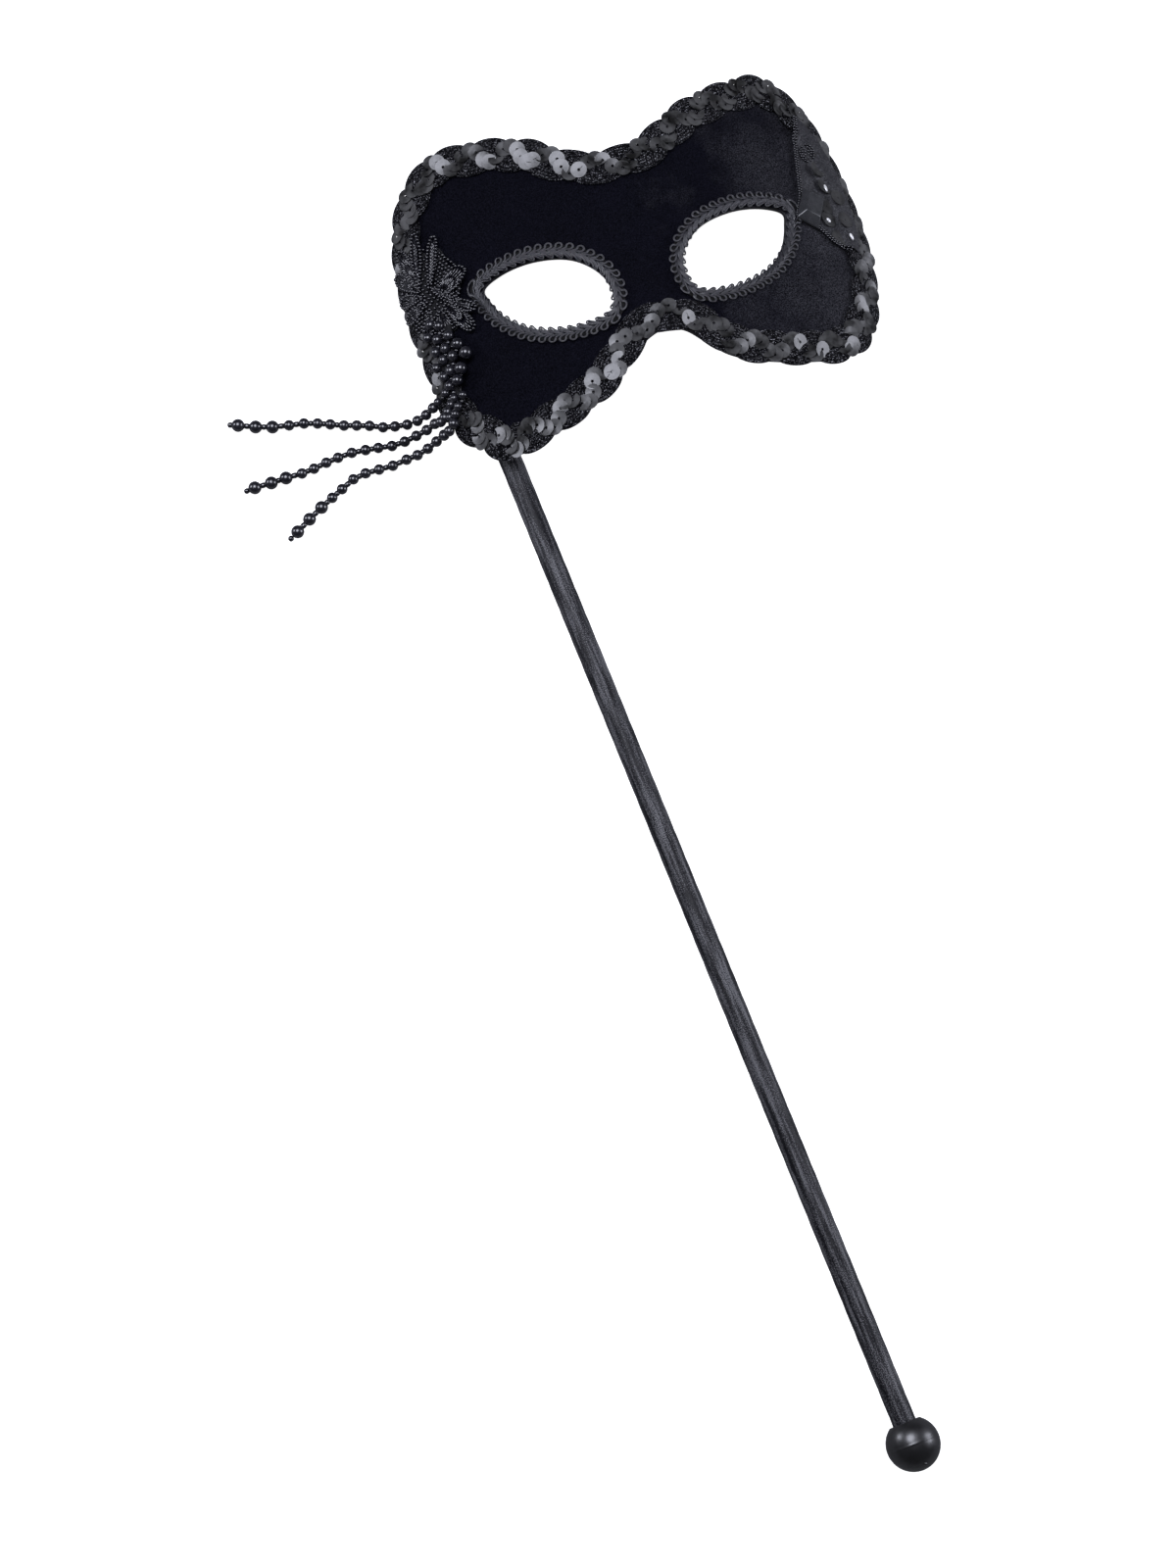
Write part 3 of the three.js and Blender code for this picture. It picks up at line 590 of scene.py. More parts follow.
curl = [(RING * math.cos(a), RING_REACH + RING * math.sin(a), 0) for a in np.radians(range(-60, 211, 45))]
ring_cord = raised_cord(RING_STEM + curl + RING_CLOSE)
unit = corded("gimp", [ring_cord, raised_cord(LEAF), raised_cord(LEAF_MIDDLE)], CORD)
work(unit, "ARRAY", count=leaves, use_relative_offset=False, use_constant_offset=True,
     constant_offset_displace=(pitch, 0, 0))
grid = np.meshgrid(np.linspace(0, eye_length, 241), np.linspace(0.4, 4.2, 8), indexing="ij")
backing = lay_grid("backing", np.stack([*grid, np.full(grid[0].shape, TRIM_BASE + BRAID_BACK)], -1))
for strip in (unit, backing):
    wrap_round_eye(strip)
sew_up(backing)
work(backing, "SOLIDIFY", thickness=BRAID_BACK - 0.1, offset=-1)

gimp = finish("Black gimp", {"Roughness": 0.33, "Specular IOR Level": 1},
              colour=(1.2, 0.3, (0.005, 0.005, 0.008), 0.7, (0.024, 0.024, 0.032)), relief=(0.22, 0.12))
unit.data.materials.append(gimp)
backing.data.materials.append(thread)
right_braid = joined([unit, backing])
smooth(right_braid, 60)
bpy.ops.object.duplicate()
left_braid = bpy.context.object
with editing(left_braid):
    bpy.ops.transform.resize(value=(-1, 1, 1), center_override=(0, 0, 0))
for braid, side in ((left_braid, "left"), (right_braid, "right")):
    with editing(bend_over_face(braid)):
        bpy.ops.mesh.normals_make_consistent(inside=False)
    braid.name = braid.data.name = "gimp_braid_" + side
    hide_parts("eye_braid_" + side)
    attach(braid, "root")

# The beaded flower: a padded black motif sewn over the trim at the temple. Its petals are runs of glass
# bugles that fan out from their roots, each outlined with a string of seed beads.
OVER_TRIM = 2.8
CLIMB = 3.4
FLOWER_MIDDLE = (-76, 18)
FLOWER_HALF = (13.6, 21)
FLOWER_DOME = 2.2
SEED = 0.66
BUGLE = 0.4
PETALS = [
    # root, tip, half its width and how far it is raised
    ((-78, 20.5), (-84, 38.2), 2.8, 0.0),
    ((-78.5, 18.5), (-88, 30), 2.8, 0.1),
    ((-78, 16), (-89, 19.8), 2.6, 0.0),
    ((-77.5, 13.5), (-88.3, 11.5), 2.6, 0.1),
    ((-77, 10), (-81, 2), 2.6, 0.0),
    ((-74, 9.5), (-73.5, 0.5), 2.4, 0.3),
    ((-72, 11), (-64.5, -2), 3.0, 0.4),
    ((-78, 19), (-75.2, 41.1), 1.9, 0.7),
    ((-75, 18), (-69.2, 37.6), 2.1, 0.9),
    ((-70, 11.3), (-60.6, 3.6), 2.1, 0.8),
    ((-74.5, 18), (-67.3, 10), 1.9, 1.0),
    ((-73, 14.5), (-61.4, 20.8), 4.4, 0.9),
]


def rest_height(u, v):
    over_trim = TRIM_REACH + CLIMB - nearest(rim, u, v)
    over_braid = BRAID_TIP + CLIMB - nearest(eye_edge, np.abs(u), v)
    climb = np.clip(np.maximum(over_trim, over_braid) / 2, 0, 1)
    return TRIM_BASE + (OVER_TRIM - TRIM_BASE) * climb


def flower_height(u, v):
    across, along = (u - FLOWER_MIDDLE[0]) / FLOWER_HALF[0], (v - FLOWER_MIDDLE[1]) / FLOWER_HALF[1]
    return rest_height(u, v) + 0.5 + FLOWER_DOME * np.clip(1 - across**2 - along**2, 0, 1)


def seed_bead(radius, material, sides=8, rings=6):
    bpy.ops.mesh.primitive_uv_sphere_add(segments=sides, ring_count=rings, radius=radius)
    made = bpy.context.object
    with editing(made, "VERT", lambda corner: abs(corner.co.z) > radius * 0.99):
        bpy.ops.transform.resize(value=(1, 1, 0.6), center_override=(0, 0, 0))
    made.data.transform(Matrix.Rotation(math.pi / 2, 4, "Y"))
    made.data.materials.append(material)
    return smooth(made)


def bugle_bead(radius, length):
    bpy.ops.mesh.primitive_cylinder_add(
        vertices=8, radius=radius, depth=length, end_fill_type="NGON", rotation=(0, math.pi / 2, 0))
    bpy.ops.object.transform_apply()
    made = bpy.context.object
    work(made, "BEVEL", width=radius * 0.25, segments=1, limit_method="ANGLE", angle_limit=math.radians(70))
    return smooth(made, 50)


def evenly(line, spacing):
    count = max(2, round(lengths_along(line)[-1] / spacing))
    return spread_along(line, (np.arange(count) + 0.5) / count)


def strung_on_face(line, spacing, raised):
    spots = evenly(line, spacing)
    ahead = np.gradient(spots, axis=0)
    heights = raised(spots[:, 0], spots[:, 1])
    return [
        face_frame(float(u), float(v), float(h), math.atan2(dv, du))
        for (u, v), (du, dv), h in zip(spots, ahead, heights)
    ]


def petal_line(root, tip, half, turn=np.linspace(0.12, 2 * math.pi - 0.12, 80)):
    root, tip = np.array(root, float), np.array(tip, float)
    out = tip - root
    side = np.array((-out[1], out[0])) / np.linalg.norm(out)
    along = (1 - np.cos(turn[:, None])) / 2
    return root + out * along + side * half * np.sin(turn[:, None]) * (0.35 + 0.75 * along)


seeds, bugles = [], []
shades = random.Random(3)
for root, tip, half, lift in PETALS:
    outline = petal_line(root, tip, half)
    seeds += strung_on_face(outline, 2 * SEED, lambda u, v: flower_height(u, v) + lift + 0.35)
    root, out = np.array(root, float), np.array(tip, float) - root
    long = np.linalg.norm(out)
    if half > 2.2:
        ends = evenly(outline[12:68], 3.2 * BUGLE)
        starts = root + (ends - root) * 0.3
        ends = ends - (ends - root) / np.linalg.norm(ends - root, axis=1)[:, None] * 1.1
    else:
        shares = np.arange(0.22, 0.95, 1.2 / long)
        turn = np.arccos(1 - 2 * shares)
        ends = np.concatenate([petal_line(root, tip, 0.5 * half, way * turn) for way in (1, -1)])
        starts = root + out * (np.tile(shares, 2)[:, None] - 2.6 / long)
    for start, stop in zip(starts, ends):
        parts = 2 if np.linalg.norm(stop - start) > 6 else 1
        for k in range(parts):
            a, b = start + (stop - start) * k / parts, start + (stop - start) * (k + 1) / parts
            middle, run = (a + b) / 2, b - a
            height = float(flower_height(*middle)) + lift + shades.uniform(-0.1, 0.3)
            place = face_frame(*middle, height, math.atan2(run[1], run[0]) + shades.uniform(-0.12, 0.12))
            thick = shades.uniform(0.8, 1.15)
            bugles.append(place @ Matrix.Diagonal((np.linalg.norm(run) / 4 * 0.94, thick, thick, 1)))
for u in np.arange(-92, -58, 1.5):
    for v in np.arange(-2, 42, 1.3):
        spot = (u + 0.75 * (round(v / 1.3) % 2) + shades.uniform(-0.2, 0.2), v + shades.uniform(-0.2, 0.2))
        if (spot[0] - FLOWER_MIDDLE[0]) ** 2 / 140 + (spot[1] - FLOWER_MIDDLE[1]) ** 2 / 330 < 1:
            seeds.append(face_frame(*spot, float(flower_height(*spot)) - 0.1, spot[0] * 3 + spot[1]))

jet = finish(
    "Jet glass", {"Specular IOR Level": 1, "Coat Weight": 0.2, "Coat Roughness": 0.1},
    colour=(2, 0.3, (0.002, 0.002, 0.005), 0.7, (0.007, 0.007, 0.012)), roughness=(0.8, 0.3, 0.1, 0.7, 0.22))
felt = finish("Black felt", {"Roughness": 0.95},
              colour=(0.8, 0.3, (0.002, 0.002, 0.003), 0.75, (0.012, 0.012, 0.014)), relief=(0.3, 0.15))

angles = np.linspace(0, 2 * math.pi, 73)[:, None]
lobed = 0.8 + 0.08 * np.cos(6 * angles + 0.5)
spread = np.linspace(0.02, 1, 12) * lobed
u = FLOWER_MIDDLE[0] + spread * FLOWER_HALF[0] * np.cos(angles)
v = FLOWER_MIDDLE[1] + spread * FLOWER_HALF[1] * np.sin(angles)
pad = lay_grid("pad", np.stack([u, v, flower_height(u, v) - 0.5], -1)[::-1])
with editing(sew_up(pad)):
    bpy.ops.mesh.fill_holes(sides=0)
smooth(bend_over_face(pad), 60)
pad.data.materials.append(felt)
seed = seed_bead(SEED / 1000, jet)
bugle = bugle_bead(BUGLE / 1000, 0.004)
bugle.data.materials.append(jet)
seeds = [place @ Matrix.Scale(shades.uniform(0.88, 1.08), 4) for place in seeds]
flower = joined([pad, copies(seed, seeds), copies(bugle, bugles)])
flower.name = flower.data.name = "flower_of_beads"
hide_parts("beaded_flower")
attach(flower, "root")

# The pearl cluster: glossy black plastic pearls threaded close together in a bunch that tapers down from
# the flower, with seed beads between them, on a felt pad sewn over the trim.
PEARL_LEVEL = 4.9
PEARLS = [
    (-78.5, 5.5, 1.9), (-75.5, 3.5, 1.9), (-81, 1.5, 1.9), (-77.5, -1, 2), (-73, -1.5, 1.9), (-70.5, -6, 2.1),
    (-68.5, -10.5, 2.3), (-79.5, -5, 1.9), (-75.5, -5.5, 1.9), (-73.5, -9.5, 2), (-77.5, -9, 1.9),
    (-81, -10.5, 1.8), (-76, -14, 2), (-72, -15, 2.3), (-79, -15, 1.9), (-74.5, -18.5, 2.1), (-78, -19, 1.9),
    (-80.5, -20.5, 1.6), (-74, -24.5, 1.6), (-77.5, -24, 1.6), (-84.5, -22, 1.5), (-79.5, -25.5, 1.6),
    (-77, -27.5, 1.6), (-79, -29.5, 1.6), (-81.5, -29.5, 1.5),
]


def pearl_bead(radius, material):
    return seed_bead(radius, material, 20, 12)


pearl_finish = finish(
    "Black pearl", {"Specular IOR Level": 0.8, "Coat Weight": 0.5, "Coat Roughness": 0.08},
    colour=(6, 0.3, (0.005, 0.005, 0.009), 0.7, (0.015, 0.015, 0.021)), roughness=(1.5, 0.3, 0.19, 0.7, 0.3))

shades = random.Random(11)
big = pearl_bead(0.001, pearl_finish)
places = []
for u, v, radius in PEARLS:
    lean = Matrix.Rotation(shades.uniform(-0.4, 0.4), 4, "Y") @ Matrix.Scale(radius, 4)
    places.append(face_frame(u, v, PEARL_LEVEL, math.radians(-100 + shades.uniform(-30, 30))) @ lean)
between = []
for i, (u, v, radius) in enumerate(PEARLS):
    for other_u, other_v, other in PEARLS[i + 1:]:
        if math.dist((u, v), (other_u, other_v)) < 5.4:
            between.append(face_frame(
                (u + other_u) / 2, (v + other_v) / 2, PEARL_LEVEL - 1.1, math.radians(-100)))
small = seed_bead(0.0009, jet)
line = np.linspace(0, 1, 25)[:, None]
half = 4.2 - 2.4 * line
u = -76 - 3.6 * line + half * np.linspace(-1, 1, 12)
v = 3 - 33 * line + 0 * u
pad = lay_grid("pearl_pad", np.stack([u, v, np.full(u.shape, OVER_TRIM + 0.7)], -1)[::-1])
work(pad, "SOLIDIFY", thickness=0.6, offset=-1)
smooth(bend_over_face(pad), 60)
pad.data.materials.append(felt)
cluster = joined([pad, copies(big, places), copies(small, between)])
cluster.name = cluster.data.name = "pearls_on_temple"
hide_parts("pearl_cluster")
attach(cluster, "root")

# The three strands: pearls and seed beads in turn on a black thread, three larger pearls and a stop bead
# at each tip. They come from the foot of the cluster and lie out beside the mask.
BIG_PEARL = 2.35
SMALL_PEARL = 1.95
SPACER = 1.1
BIG_PEARLS = 3
THREAD = 0.3
CLIMBING = {
    "upper": [],
    "middle": [(-85.6, -29.2), (-83.5, -28.6), (-81.5, -27.4)],
    "lower": [(-85.8, -34.4), (-83.2, -34), (-80.6, -32.4)],
}
STRANDS = {
    "upper": [
        (-155, -8.8, 0), (-152.4, -10, 0), (-146.5, -12.2, 0), (-140.7, -13.8, 0), (-134.8, -14.6, 0),
        (-129.5, -15.3, 0), (-124.8, -16.6, 0), (-120.5, -18.1, 0), (-115.9, -19.8, 0), (-111.5, -21, 0),
        (-107.1, -22.3, 0), (-102.6, -24.1, 0), (-98.4, -24.9, 0), (-94, -25.5, 0.3), (-90.2, -25.6, 1.8),
        (-86.8, -25.2, 4.6), (-84, -24.4, 7.8),
    ],
    "middle": [
        (-155.4, -34.2, 0), (-152.4, -34.1, 0), (-146.3, -33.9, 0), (-140.8, -33.5, 0), (-134.9, -33.2, 0),
        (-130.3, -32.6, 0), (-125.5, -31.6, 0), (-121, -30.9, 0), (-115.8, -30.4, 0), (-110.8, -30.7, 0),
        (-106.2, -31.1, 0), (-101.3, -31.7, 0), (-96.5, -31.4, 0.2), (-92, -30.8, 1.4), (-88, -30.4, 3.6),
        (-84.8, -30, 6.9),
    ],
    "lower": [
        (-144.7, -55.4, 0), (-141.8, -53.9, 0), (-136.6, -50.5, 0), (-131.4, -47.4, 0), (-126.8, -44.8, 0),
        (-122.6, -42.6, 0), (-117.8, -40.1, 0), (-113, -39.1, 0), (-108, -39, 0), (-102.9, -38.9, 0),
        (-97.6, -38, 0), (-93.4, -37.5, 0.3), (-89.3, -36.6, 1.7), (-85.8, -35.7, 4.4), (-82.8, -35, 7.5),
    ],
}


def thread_frame(place, ahead):
    ahead = Vector(ahead).normalized()
    side = Vector((0, 0, 1)).cross(ahead).normalized()
    return Matrix.Translation(place) @ Matrix((ahead, side, ahead.cross(side))).transposed().to_4x4()


for name, knots in STRANDS.items():
    radii = [SPACER] + [BIG_PEARL] * BIG_PEARLS + [SMALL_PEARL] * (len(knots) - 1 - BIG_PEARLS)
    spots = [
        Vector((x + MIDDLE[0], y + MIDDLE[1], max(radius, 1.3) + 0.1 + raised)) / 1000
        for (x, y, raised), radius in zip(knots, radii)
    ]
    spots += [Vector(on_face(u, v, PEARL_LEVEL)) for u, v in CLIMBING[name]]
    radii += [SMALL_PEARL] * len(CLIMBING[name])
    pearls, spacers = [], [thread_frame(spots[0], spots[1] - spots[0])]
    for i in range(1, len(spots)):
        ahead = spots[min(i + 1, len(spots) - 1)] - spots[i - 1]
        pearls.append(thread_frame(spots[i], ahead) @ Matrix.Scale(radii[i], 4))
        gap = spots[i] - spots[i - 1]
        free = gap.length * 1000 - radii[i] - radii[i - 1]
        if i > 1 and free > 0.3:
            middle = spots[i - 1] + gap * ((radii[i - 1] + free / 2) / 1000 / gap.length)
            stretch = Matrix.Diagonal(((free + 0.5) / 1.2 / SPACER, 1, 1, 1))
            spacers.append(thread_frame(middle, gap) @ stretch)
    pearl = pearl_bead(0.001, pearl_finish)
    spacer = seed_bead(SPACER / 1000, jet)
    line = corded("line", [spots], THREAD / 1000)
    line.data.materials.append(thread)
    strand = joined([line, copies(pearl, pearls), copies(spacer, spacers)])
    strand.name = strand.data.name = "strung_pearls_" + name
    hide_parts("pearl_strand_" + name)
    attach(strand, "root")

# The corner patch: a three-sided piece of grey-black satin at the other temple, lapped over the trim. Flat
# paillettes, three drops coloured near white as a painted glint, and a round of seed beads are sewn on it,
# and beads edge its two free sides.
PATCH_NEAR = [(72.7, 49.3), (71.4, 45.1), (70, 37.6), (68.2, 30.1), (66.5, 22.7), (65.2, 17), (61, 8.4)]
PATCH_LOW = [(61, 8.4), (69.2, 3.2), (73.3, -1.6), (79.8, -6)]
PATCH_OVER = [5.6, 3, 2.6, 3.4, 4.6, 6.6]
PATCH_THICK = 0.35
PAILLETTE_RADIUS = 3.2
PAILLETTES = [(76.4, 27.4), (77.6, 20.6), (76, 12.8), (74.9, 7.2), (77, -0.2), (81, 15.6), (81, 6.4)]
DROPS = [(77.4, 19.6, -86, 1.6), (74.3, 6.6, -55, 1.05), (80.9, -0.7, -75, 1.45)]
ROSETTE = (73.9, 34.2)
ROSETTE_RINGS = ((2.4, 3.1), (1.4, 2), (0.5, 0.9))
ROSETTE_SEED = 0.48
EDGING_SEED = 0.53
EDGING_ROWS = (-0.05, 0.92)
EDGING_SPACING = 1.08


def patch_height(u, v):
    climb = np.clip((TRIM_REACH + 2 - nearest(rim, u, v)) / 3, 0, 1)
    return 1.0 + 1.95 * climb * climb * (3 - 2 * climb)


def share_beside(u, v):
    return int(np.hypot(rim[:, 0] - u, rim[:, 1] - v).argmin()) / len(rim)


down = np.linspace(0, 1, 50)
near = spread_along(PATCH_NEAR, down)
top_share, foot_share = share_beside(*PATCH_NEAR[0]), share_beside(*PATCH_LOW[-1])
over = np.interp(down, np.linspace(0, 1, len(PATCH_OVER)), PATCH_OVER)
edge_u, edge_v = beside(rim, top_share + (foot_share - top_share) * down, over)
far = np.stack([edge_u, edge_v], -1)
across = np.linspace(0, 1, 26)[None, :, None]
satin_flat = near[:, None] * (1 - across) + far[:, None] * across
u, v = satin_flat[..., 0], satin_flat[..., 1]
waves = 0.12 * np.sin(u * 0.9 + v * 0.5) + 0.1 * np.sin(v * 0.7 - u * 0.4)
satin_piece = lay_grid("satin_patch", np.stack([u, v, patch_height(u, v) + waves], -1)[::-1])
work(satin_piece, "SOLIDIFY", thickness=PATCH_THICK, offset=-1)
smooth(bend_over_face(satin_piece), 50)

satin = finish("Grey-black satin", {"Roughness": 0.5, "Specular IOR Level": 0.3, "Anisotropic": 0.4},
               relief=(0.3, 0.1))
tree, surface, place = workings(satin)
weave = ramp(tree, grained(tree, place, 0.5), 0.42, (0.003, 0.003, 0.004), 0.7, (0.13, 0.13, 0.14))
shade = ramp(tree, grained(tree, place, 5), 0.3, 0.25, 0.7, 0.75)
tree.links.new(mix(tree, shade, (0.022, 0.022, 0.026, 1), weave), surface["Base Color"])
satin_piece.data.materials.append(satin)
paillette = finish("Grey paillette", {"Roughness": 0.32, "Coat Weight": 0.2, "Coat Roughness": 0.2},
                   colour=(4, 0.35, 0.02, 0.65, 0.05), relief=(1.5, 0.05))
shades = random.Random(5)
plate = sequin(PAILLETTE_RADIUS / 1000, 0.00025, 0.00003)
plate.data.materials.append(paillette)
places = []
for u, v in PAILLETTES:
    height = float(patch_height(np.array(u), np.array(v))) + 0.38
    lean = Matrix.Rotation(shades.uniform(0.02, 0.09), 4, "Y")
    lean = lean @ Matrix.Rotation(shades.uniform(-0.04, 0.04), 4, "X")
    places.append(face_frame(u, v, height, math.radians(shades.uniform(60, 120))) @ lean)
plates = copies(plate, places)

# The drops' near-white colour is a painted glint: it stands in for the light the small stones catch.
painted_glint_white = finish("Drop white as a painted glint", {"Roughness": 0.22, "Metallic": 0.25}, colour=(1, 0.3, 0.85, 0.7, 0.97))
drop = pearl_bead(0.001, painted_glint_white)
drops = copies(drop, [
    face_frame(u, v, float(patch_height(np.array(u), np.array(v))) + 0.75, math.radians(turn))
    @ Matrix.Diagonal((long, 0.6, 0.5, 1)) for u, v, turn, long in DROPS])
seed = seed_bead(ROSETTE_SEED / 1000, jet)
rings = []
around = np.linspace(0, 6.28, 40)
for ring_u, ring_v in ROSETTE_RINGS:
    oval = np.stack([ROSETTE[0] + ring_u * np.cos(around), ROSETTE[1] + ring_v * np.sin(around)], -1)
    rings += strung_on_face(oval, 1.0, lambda u, v: patch_height(u, v) + 0.5)
rosette = copies(seed, rings)
patch = joined([satin_piece, plates, drops, rosette])
patch.name = patch.data.name = "satin_corner"
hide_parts("corner_patch")
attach(patch, "root")

# The patch edging: two rows of small black seed beads sewn over each free side of the satin, one on its
# edge and one just outside it.
for name, line in (("upper", PATCH_NEAR), ("lower", PATCH_LOW)):
    seed = seed_bead(EDGING_SEED / 1000, jet)
    line = spread_along(line, np.linspace(0, 1, 60))
    ahead = np.gradient(line, axis=0)
    across = np.stack([-ahead[:, 1], ahead[:, 0]], -1) / np.linalg.norm(ahead, axis=1, keepdims=True)
    outer = []
    for row in EDGING_ROWS:
        outer += strung_on_face(line + across * row, EDGING_SPACING, lambda u, v: patch_height(u, v) + 0.5)
    edging = copies(seed, outer)
    edging.name = edging.data.name = "beads_on_patch_" + name
    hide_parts("patch_edging_" + name)
    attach(edging, "root")

# The stud: one table-cut stone of dark grey moulded resin, glued on the patch beside the corner of the eye,
# with four long sloping facets round a small flat table.
STUD_MIDDLE = (67.8, 11.2)
STUD_SIZE = (9.4, 13.8)
STUD_BASE = 1.35
STUD_GIRDLE = 0.7
STUD_HEIGHT = 3.6
STUD_TABLE = 0.62
STUD_TURN = math.radians(-31)

bpy.ops.mesh.primitive_cube_add(size=1, location=(0, 0, STUD_GIRDLE / 2000), scale=(
    STUD_SIZE[0] / 1000, STUD_SIZE[1] / 1000, STUD_GIRDLE / 1000))
stud = bpy.context.object
bpy.ops.object.transform_apply()
with editing(stud, "FACE", lambda face: face.normal.z > 0.9):
    bpy.ops.mesh.extrude_region_move(
        TRANSFORM_OT_translate={"value": (0, 0, (STUD_HEIGHT - STUD_GIRDLE) / 1000)})
    bpy.ops.transform.resize(value=(STUD_TABLE, STUD_TABLE, 1))
work(stud, "BEVEL", width=0.00034, segments=3, limit_method="ANGLE", angle_limit=math.radians(20))
stud.data.transform(face_frame(*STUD_MIDDLE, STUD_BASE, STUD_TURN))
smooth(stud, 12)
stone = finish(
    "Grey cut stone", {"Specular IOR Level": 0.8, "Coat Weight": 0.2, "Coat Roughness": 0.12},
    colour=(5, 0.3, (0.024, 0.025, 0.028), 0.7, (0.045, 0.046, 0.05)), roughness=(2, 0.3, 0.22, 0.7, 0.34))
stud.data.materials.append(stone)
stud.name = stud.data.name = "table_cut_stud"
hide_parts("faceted_stud")
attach(stud, "root")

# The stick: a turned wooden dowel, bare where its end shows at the top, that runs from the socket of the
# ball to the back of the lower lobe.
STICK_TOP = Vector((-65.6, -20, 9))
BALL_MIDDLE = Vector((-23.6, -417.3, 9))
STICK_RADIUS = 3.5
BALL_RADIUS = 9.25
COLLAR_RADIUS = 5.4
SOCKET_DEPTH = 7
collar_height = math.sqrt(BALL_RADIUS**2 - COLLAR_RADIUS**2)
stick_axis = (STICK_TOP - BALL_MIDDLE).normalized()
stick_foot = BALL_MIDDLE + stick_axis * (collar_height - SOCKET_DEPTH + 0.3)
stick_length = (STICK_TOP - stick_foot).length
shift = Matrix.Translation((MIDDLE[0], MIDDLE[1], 0))


def on_stick(piece, start):
    turned = stick_axis.to_track_quat("Z", "Y").to_matrix().to_4x4()
    piece.data.transform(Matrix.Scale(0.001, 4) @ shift @ Matrix.Translation(start) @ turned)
    piece.data.update()
    return piece


bpy.ops.mesh.primitive_cylinder_add(
    vertices=48, radius=STICK_RADIUS, depth=stick_length, location=(0, 0, stick_length / 2))
dowel = bpy.context.object
bpy.ops.object.transform_apply()
work(dowel, "BEVEL", width=0.4, segments=3, limit_method="ANGLE", angle_limit=math.radians(60))
smooth(on_stick(dowel, stick_foot), 40)
wood = finish("Bare beech", {"Roughness": 0.7})
tree, surface, place = workings(wood)
lengthways = node(tree, "ShaderNodeMapping", {"Vector": place, "Scale": (1, 0.06, 1)}).outputs[0]
tree.links.new(
    ramp(tree, grained(tree, lengthways, 1.2), 0.3, (0.34, 0.22, 0.12), 0.7, (0.52, 0.37, 0.22)),
    surface["Base Color"])
tree.links.new(bump(tree, grained(tree, lengthways, 0.5), 0.1), surface["Normal"])
dowel.data.materials.append(wood)
dowel.name = dowel.data.name = "wooden_dowel"
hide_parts("stick")
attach(dowel, "root")

# The ribbon: the stick's black satin covering, taken to be one length of ribbon wound up from the ball in a
# close spiral, each turn lapping the last in a slanting step. The photograph doesn't show how it is put on.
RIBBON_INNER = 3.62
RIBBON_OUTER = 4.12
RIBBON_PITCH = 10.4
RIBBON_THICK = 0.1
RIBBON_LEVELS = [(0, 1), (0.03, 0.72), (0.3, 0.82), (0.65, 0.92), (0.97, 1)]

turns = math.ceil(stick_length / RIBBON_PITCH) + 2
starts = [turn - 1 + part for turn in range(turns) for part, level in RIBBON_LEVELS[:-1]]
climbs = np.array(starts) * RIBBON_PITCH
levels = np.array([level for part, level in RIBBON_LEVELS[1:]] * turns)
around = np.linspace(0, 2 * math.pi, 49)
radius = RIBBON_INNER + 0.12 + (RIBBON_OUTER - RIBBON_INNER - 0.12) * levels[:, None]
climb = climbs[:, None] + RIBBON_PITCH * around / (2 * math.pi)
winding = np.stack([radius * np.cos(around), radius * np.sin(around), climb], -1)
ribbon = lay_grid("satin_ribbon", winding)
mark(ribbon, "wound", np.stack([around * 3.9 + 0 * climb, climb], -1))
sew_up(ribbon, 0.001)
for height, clears in ((0.6, "clear_inner"), (stick_length - 1, "clear_outer")):
    with editing(ribbon):
        bpy.ops.mesh.bisect(plane_co=(0, 0, height), plane_no=(0, 0, 1), **{clears: True})
work(ribbon, "SOLIDIFY", thickness=RIBBON_THICK, offset=-1)
smooth(on_stick(ribbon, stick_foot), 35)
ribbon_cloth = finish("Black satin ribbon", {"Roughness": 0.4, "Specular IOR Level": 0.26})
tree, surface, place = workings(ribbon_cloth)
wound = node(tree, "ShaderNodeUVMap", uv_map="wound").outputs[0]
pulls = node(tree, "ShaderNodeMapping", {"Vector": wound, "Scale": (0.001, 0.00005, 1)}).outputs[0]
weave = node(tree, "ShaderNodeMapping", {"Vector": wound, "Scale": (0.001, 0.0008, 1)}).outputs[0]
specks = grained(tree, weave, 0.32)
light_threads = maths(tree, "MULTIPLY_ADD", grained(tree, pulls, 1.5), 0.8, specks)
tree.links.new(ramp(tree, light_threads, 0.9, (0.002, 0.002, 0.004), 1.12, (0.14, 0.14, 0.15)),
               surface["Base Color"])
tree.links.new(bump(tree, specks, 0.12), surface["Normal"])
ribbon.data.materials.append(ribbon_cloth)
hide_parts("ribbon_wrap")
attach(ribbon, "root")

# The ball: a glossy black moulded ball pushed on the foot of the stick, flat where the stick goes in, with a
# faint parting line round it and the pip of its gate, and a small flat spot that it lies on.
PIP_RADIUS = 0.65
PIP_PLACE = (-0.72, 5.5, -7.35)
bpy.ops.mesh.primitive_uv_sphere_add(segments=64, ring_count=32, radius=BALL_RADIUS)
ball = bpy.context.object
with editing(ball):
    bpy.ops.mesh.bisect(plane_co=(0, 0, collar_height), plane_no=(0, 0, 1), clear_outer=True, use_fill=True)
with editing(ball, "FACE", lambda face: face.center.z > collar_height - 0.01):
    bpy.ops.mesh.inset(thickness=COLLAR_RADIUS - RIBBON_OUTER - 0.25)
    bpy.ops.mesh.extrude_region_move(TRANSFORM_OT_translate={"value": (0, 0, -SOCKET_DEPTH)})
corners = ball.data.vertices


def on_a_ring(edge):
    heights = [corners[i].co.z for i in edge.vertices]
    return any(all(abs(z - ring) < 0.01 for z in heights) for ring in (0, collar_height - SOCKET_DEPTH))


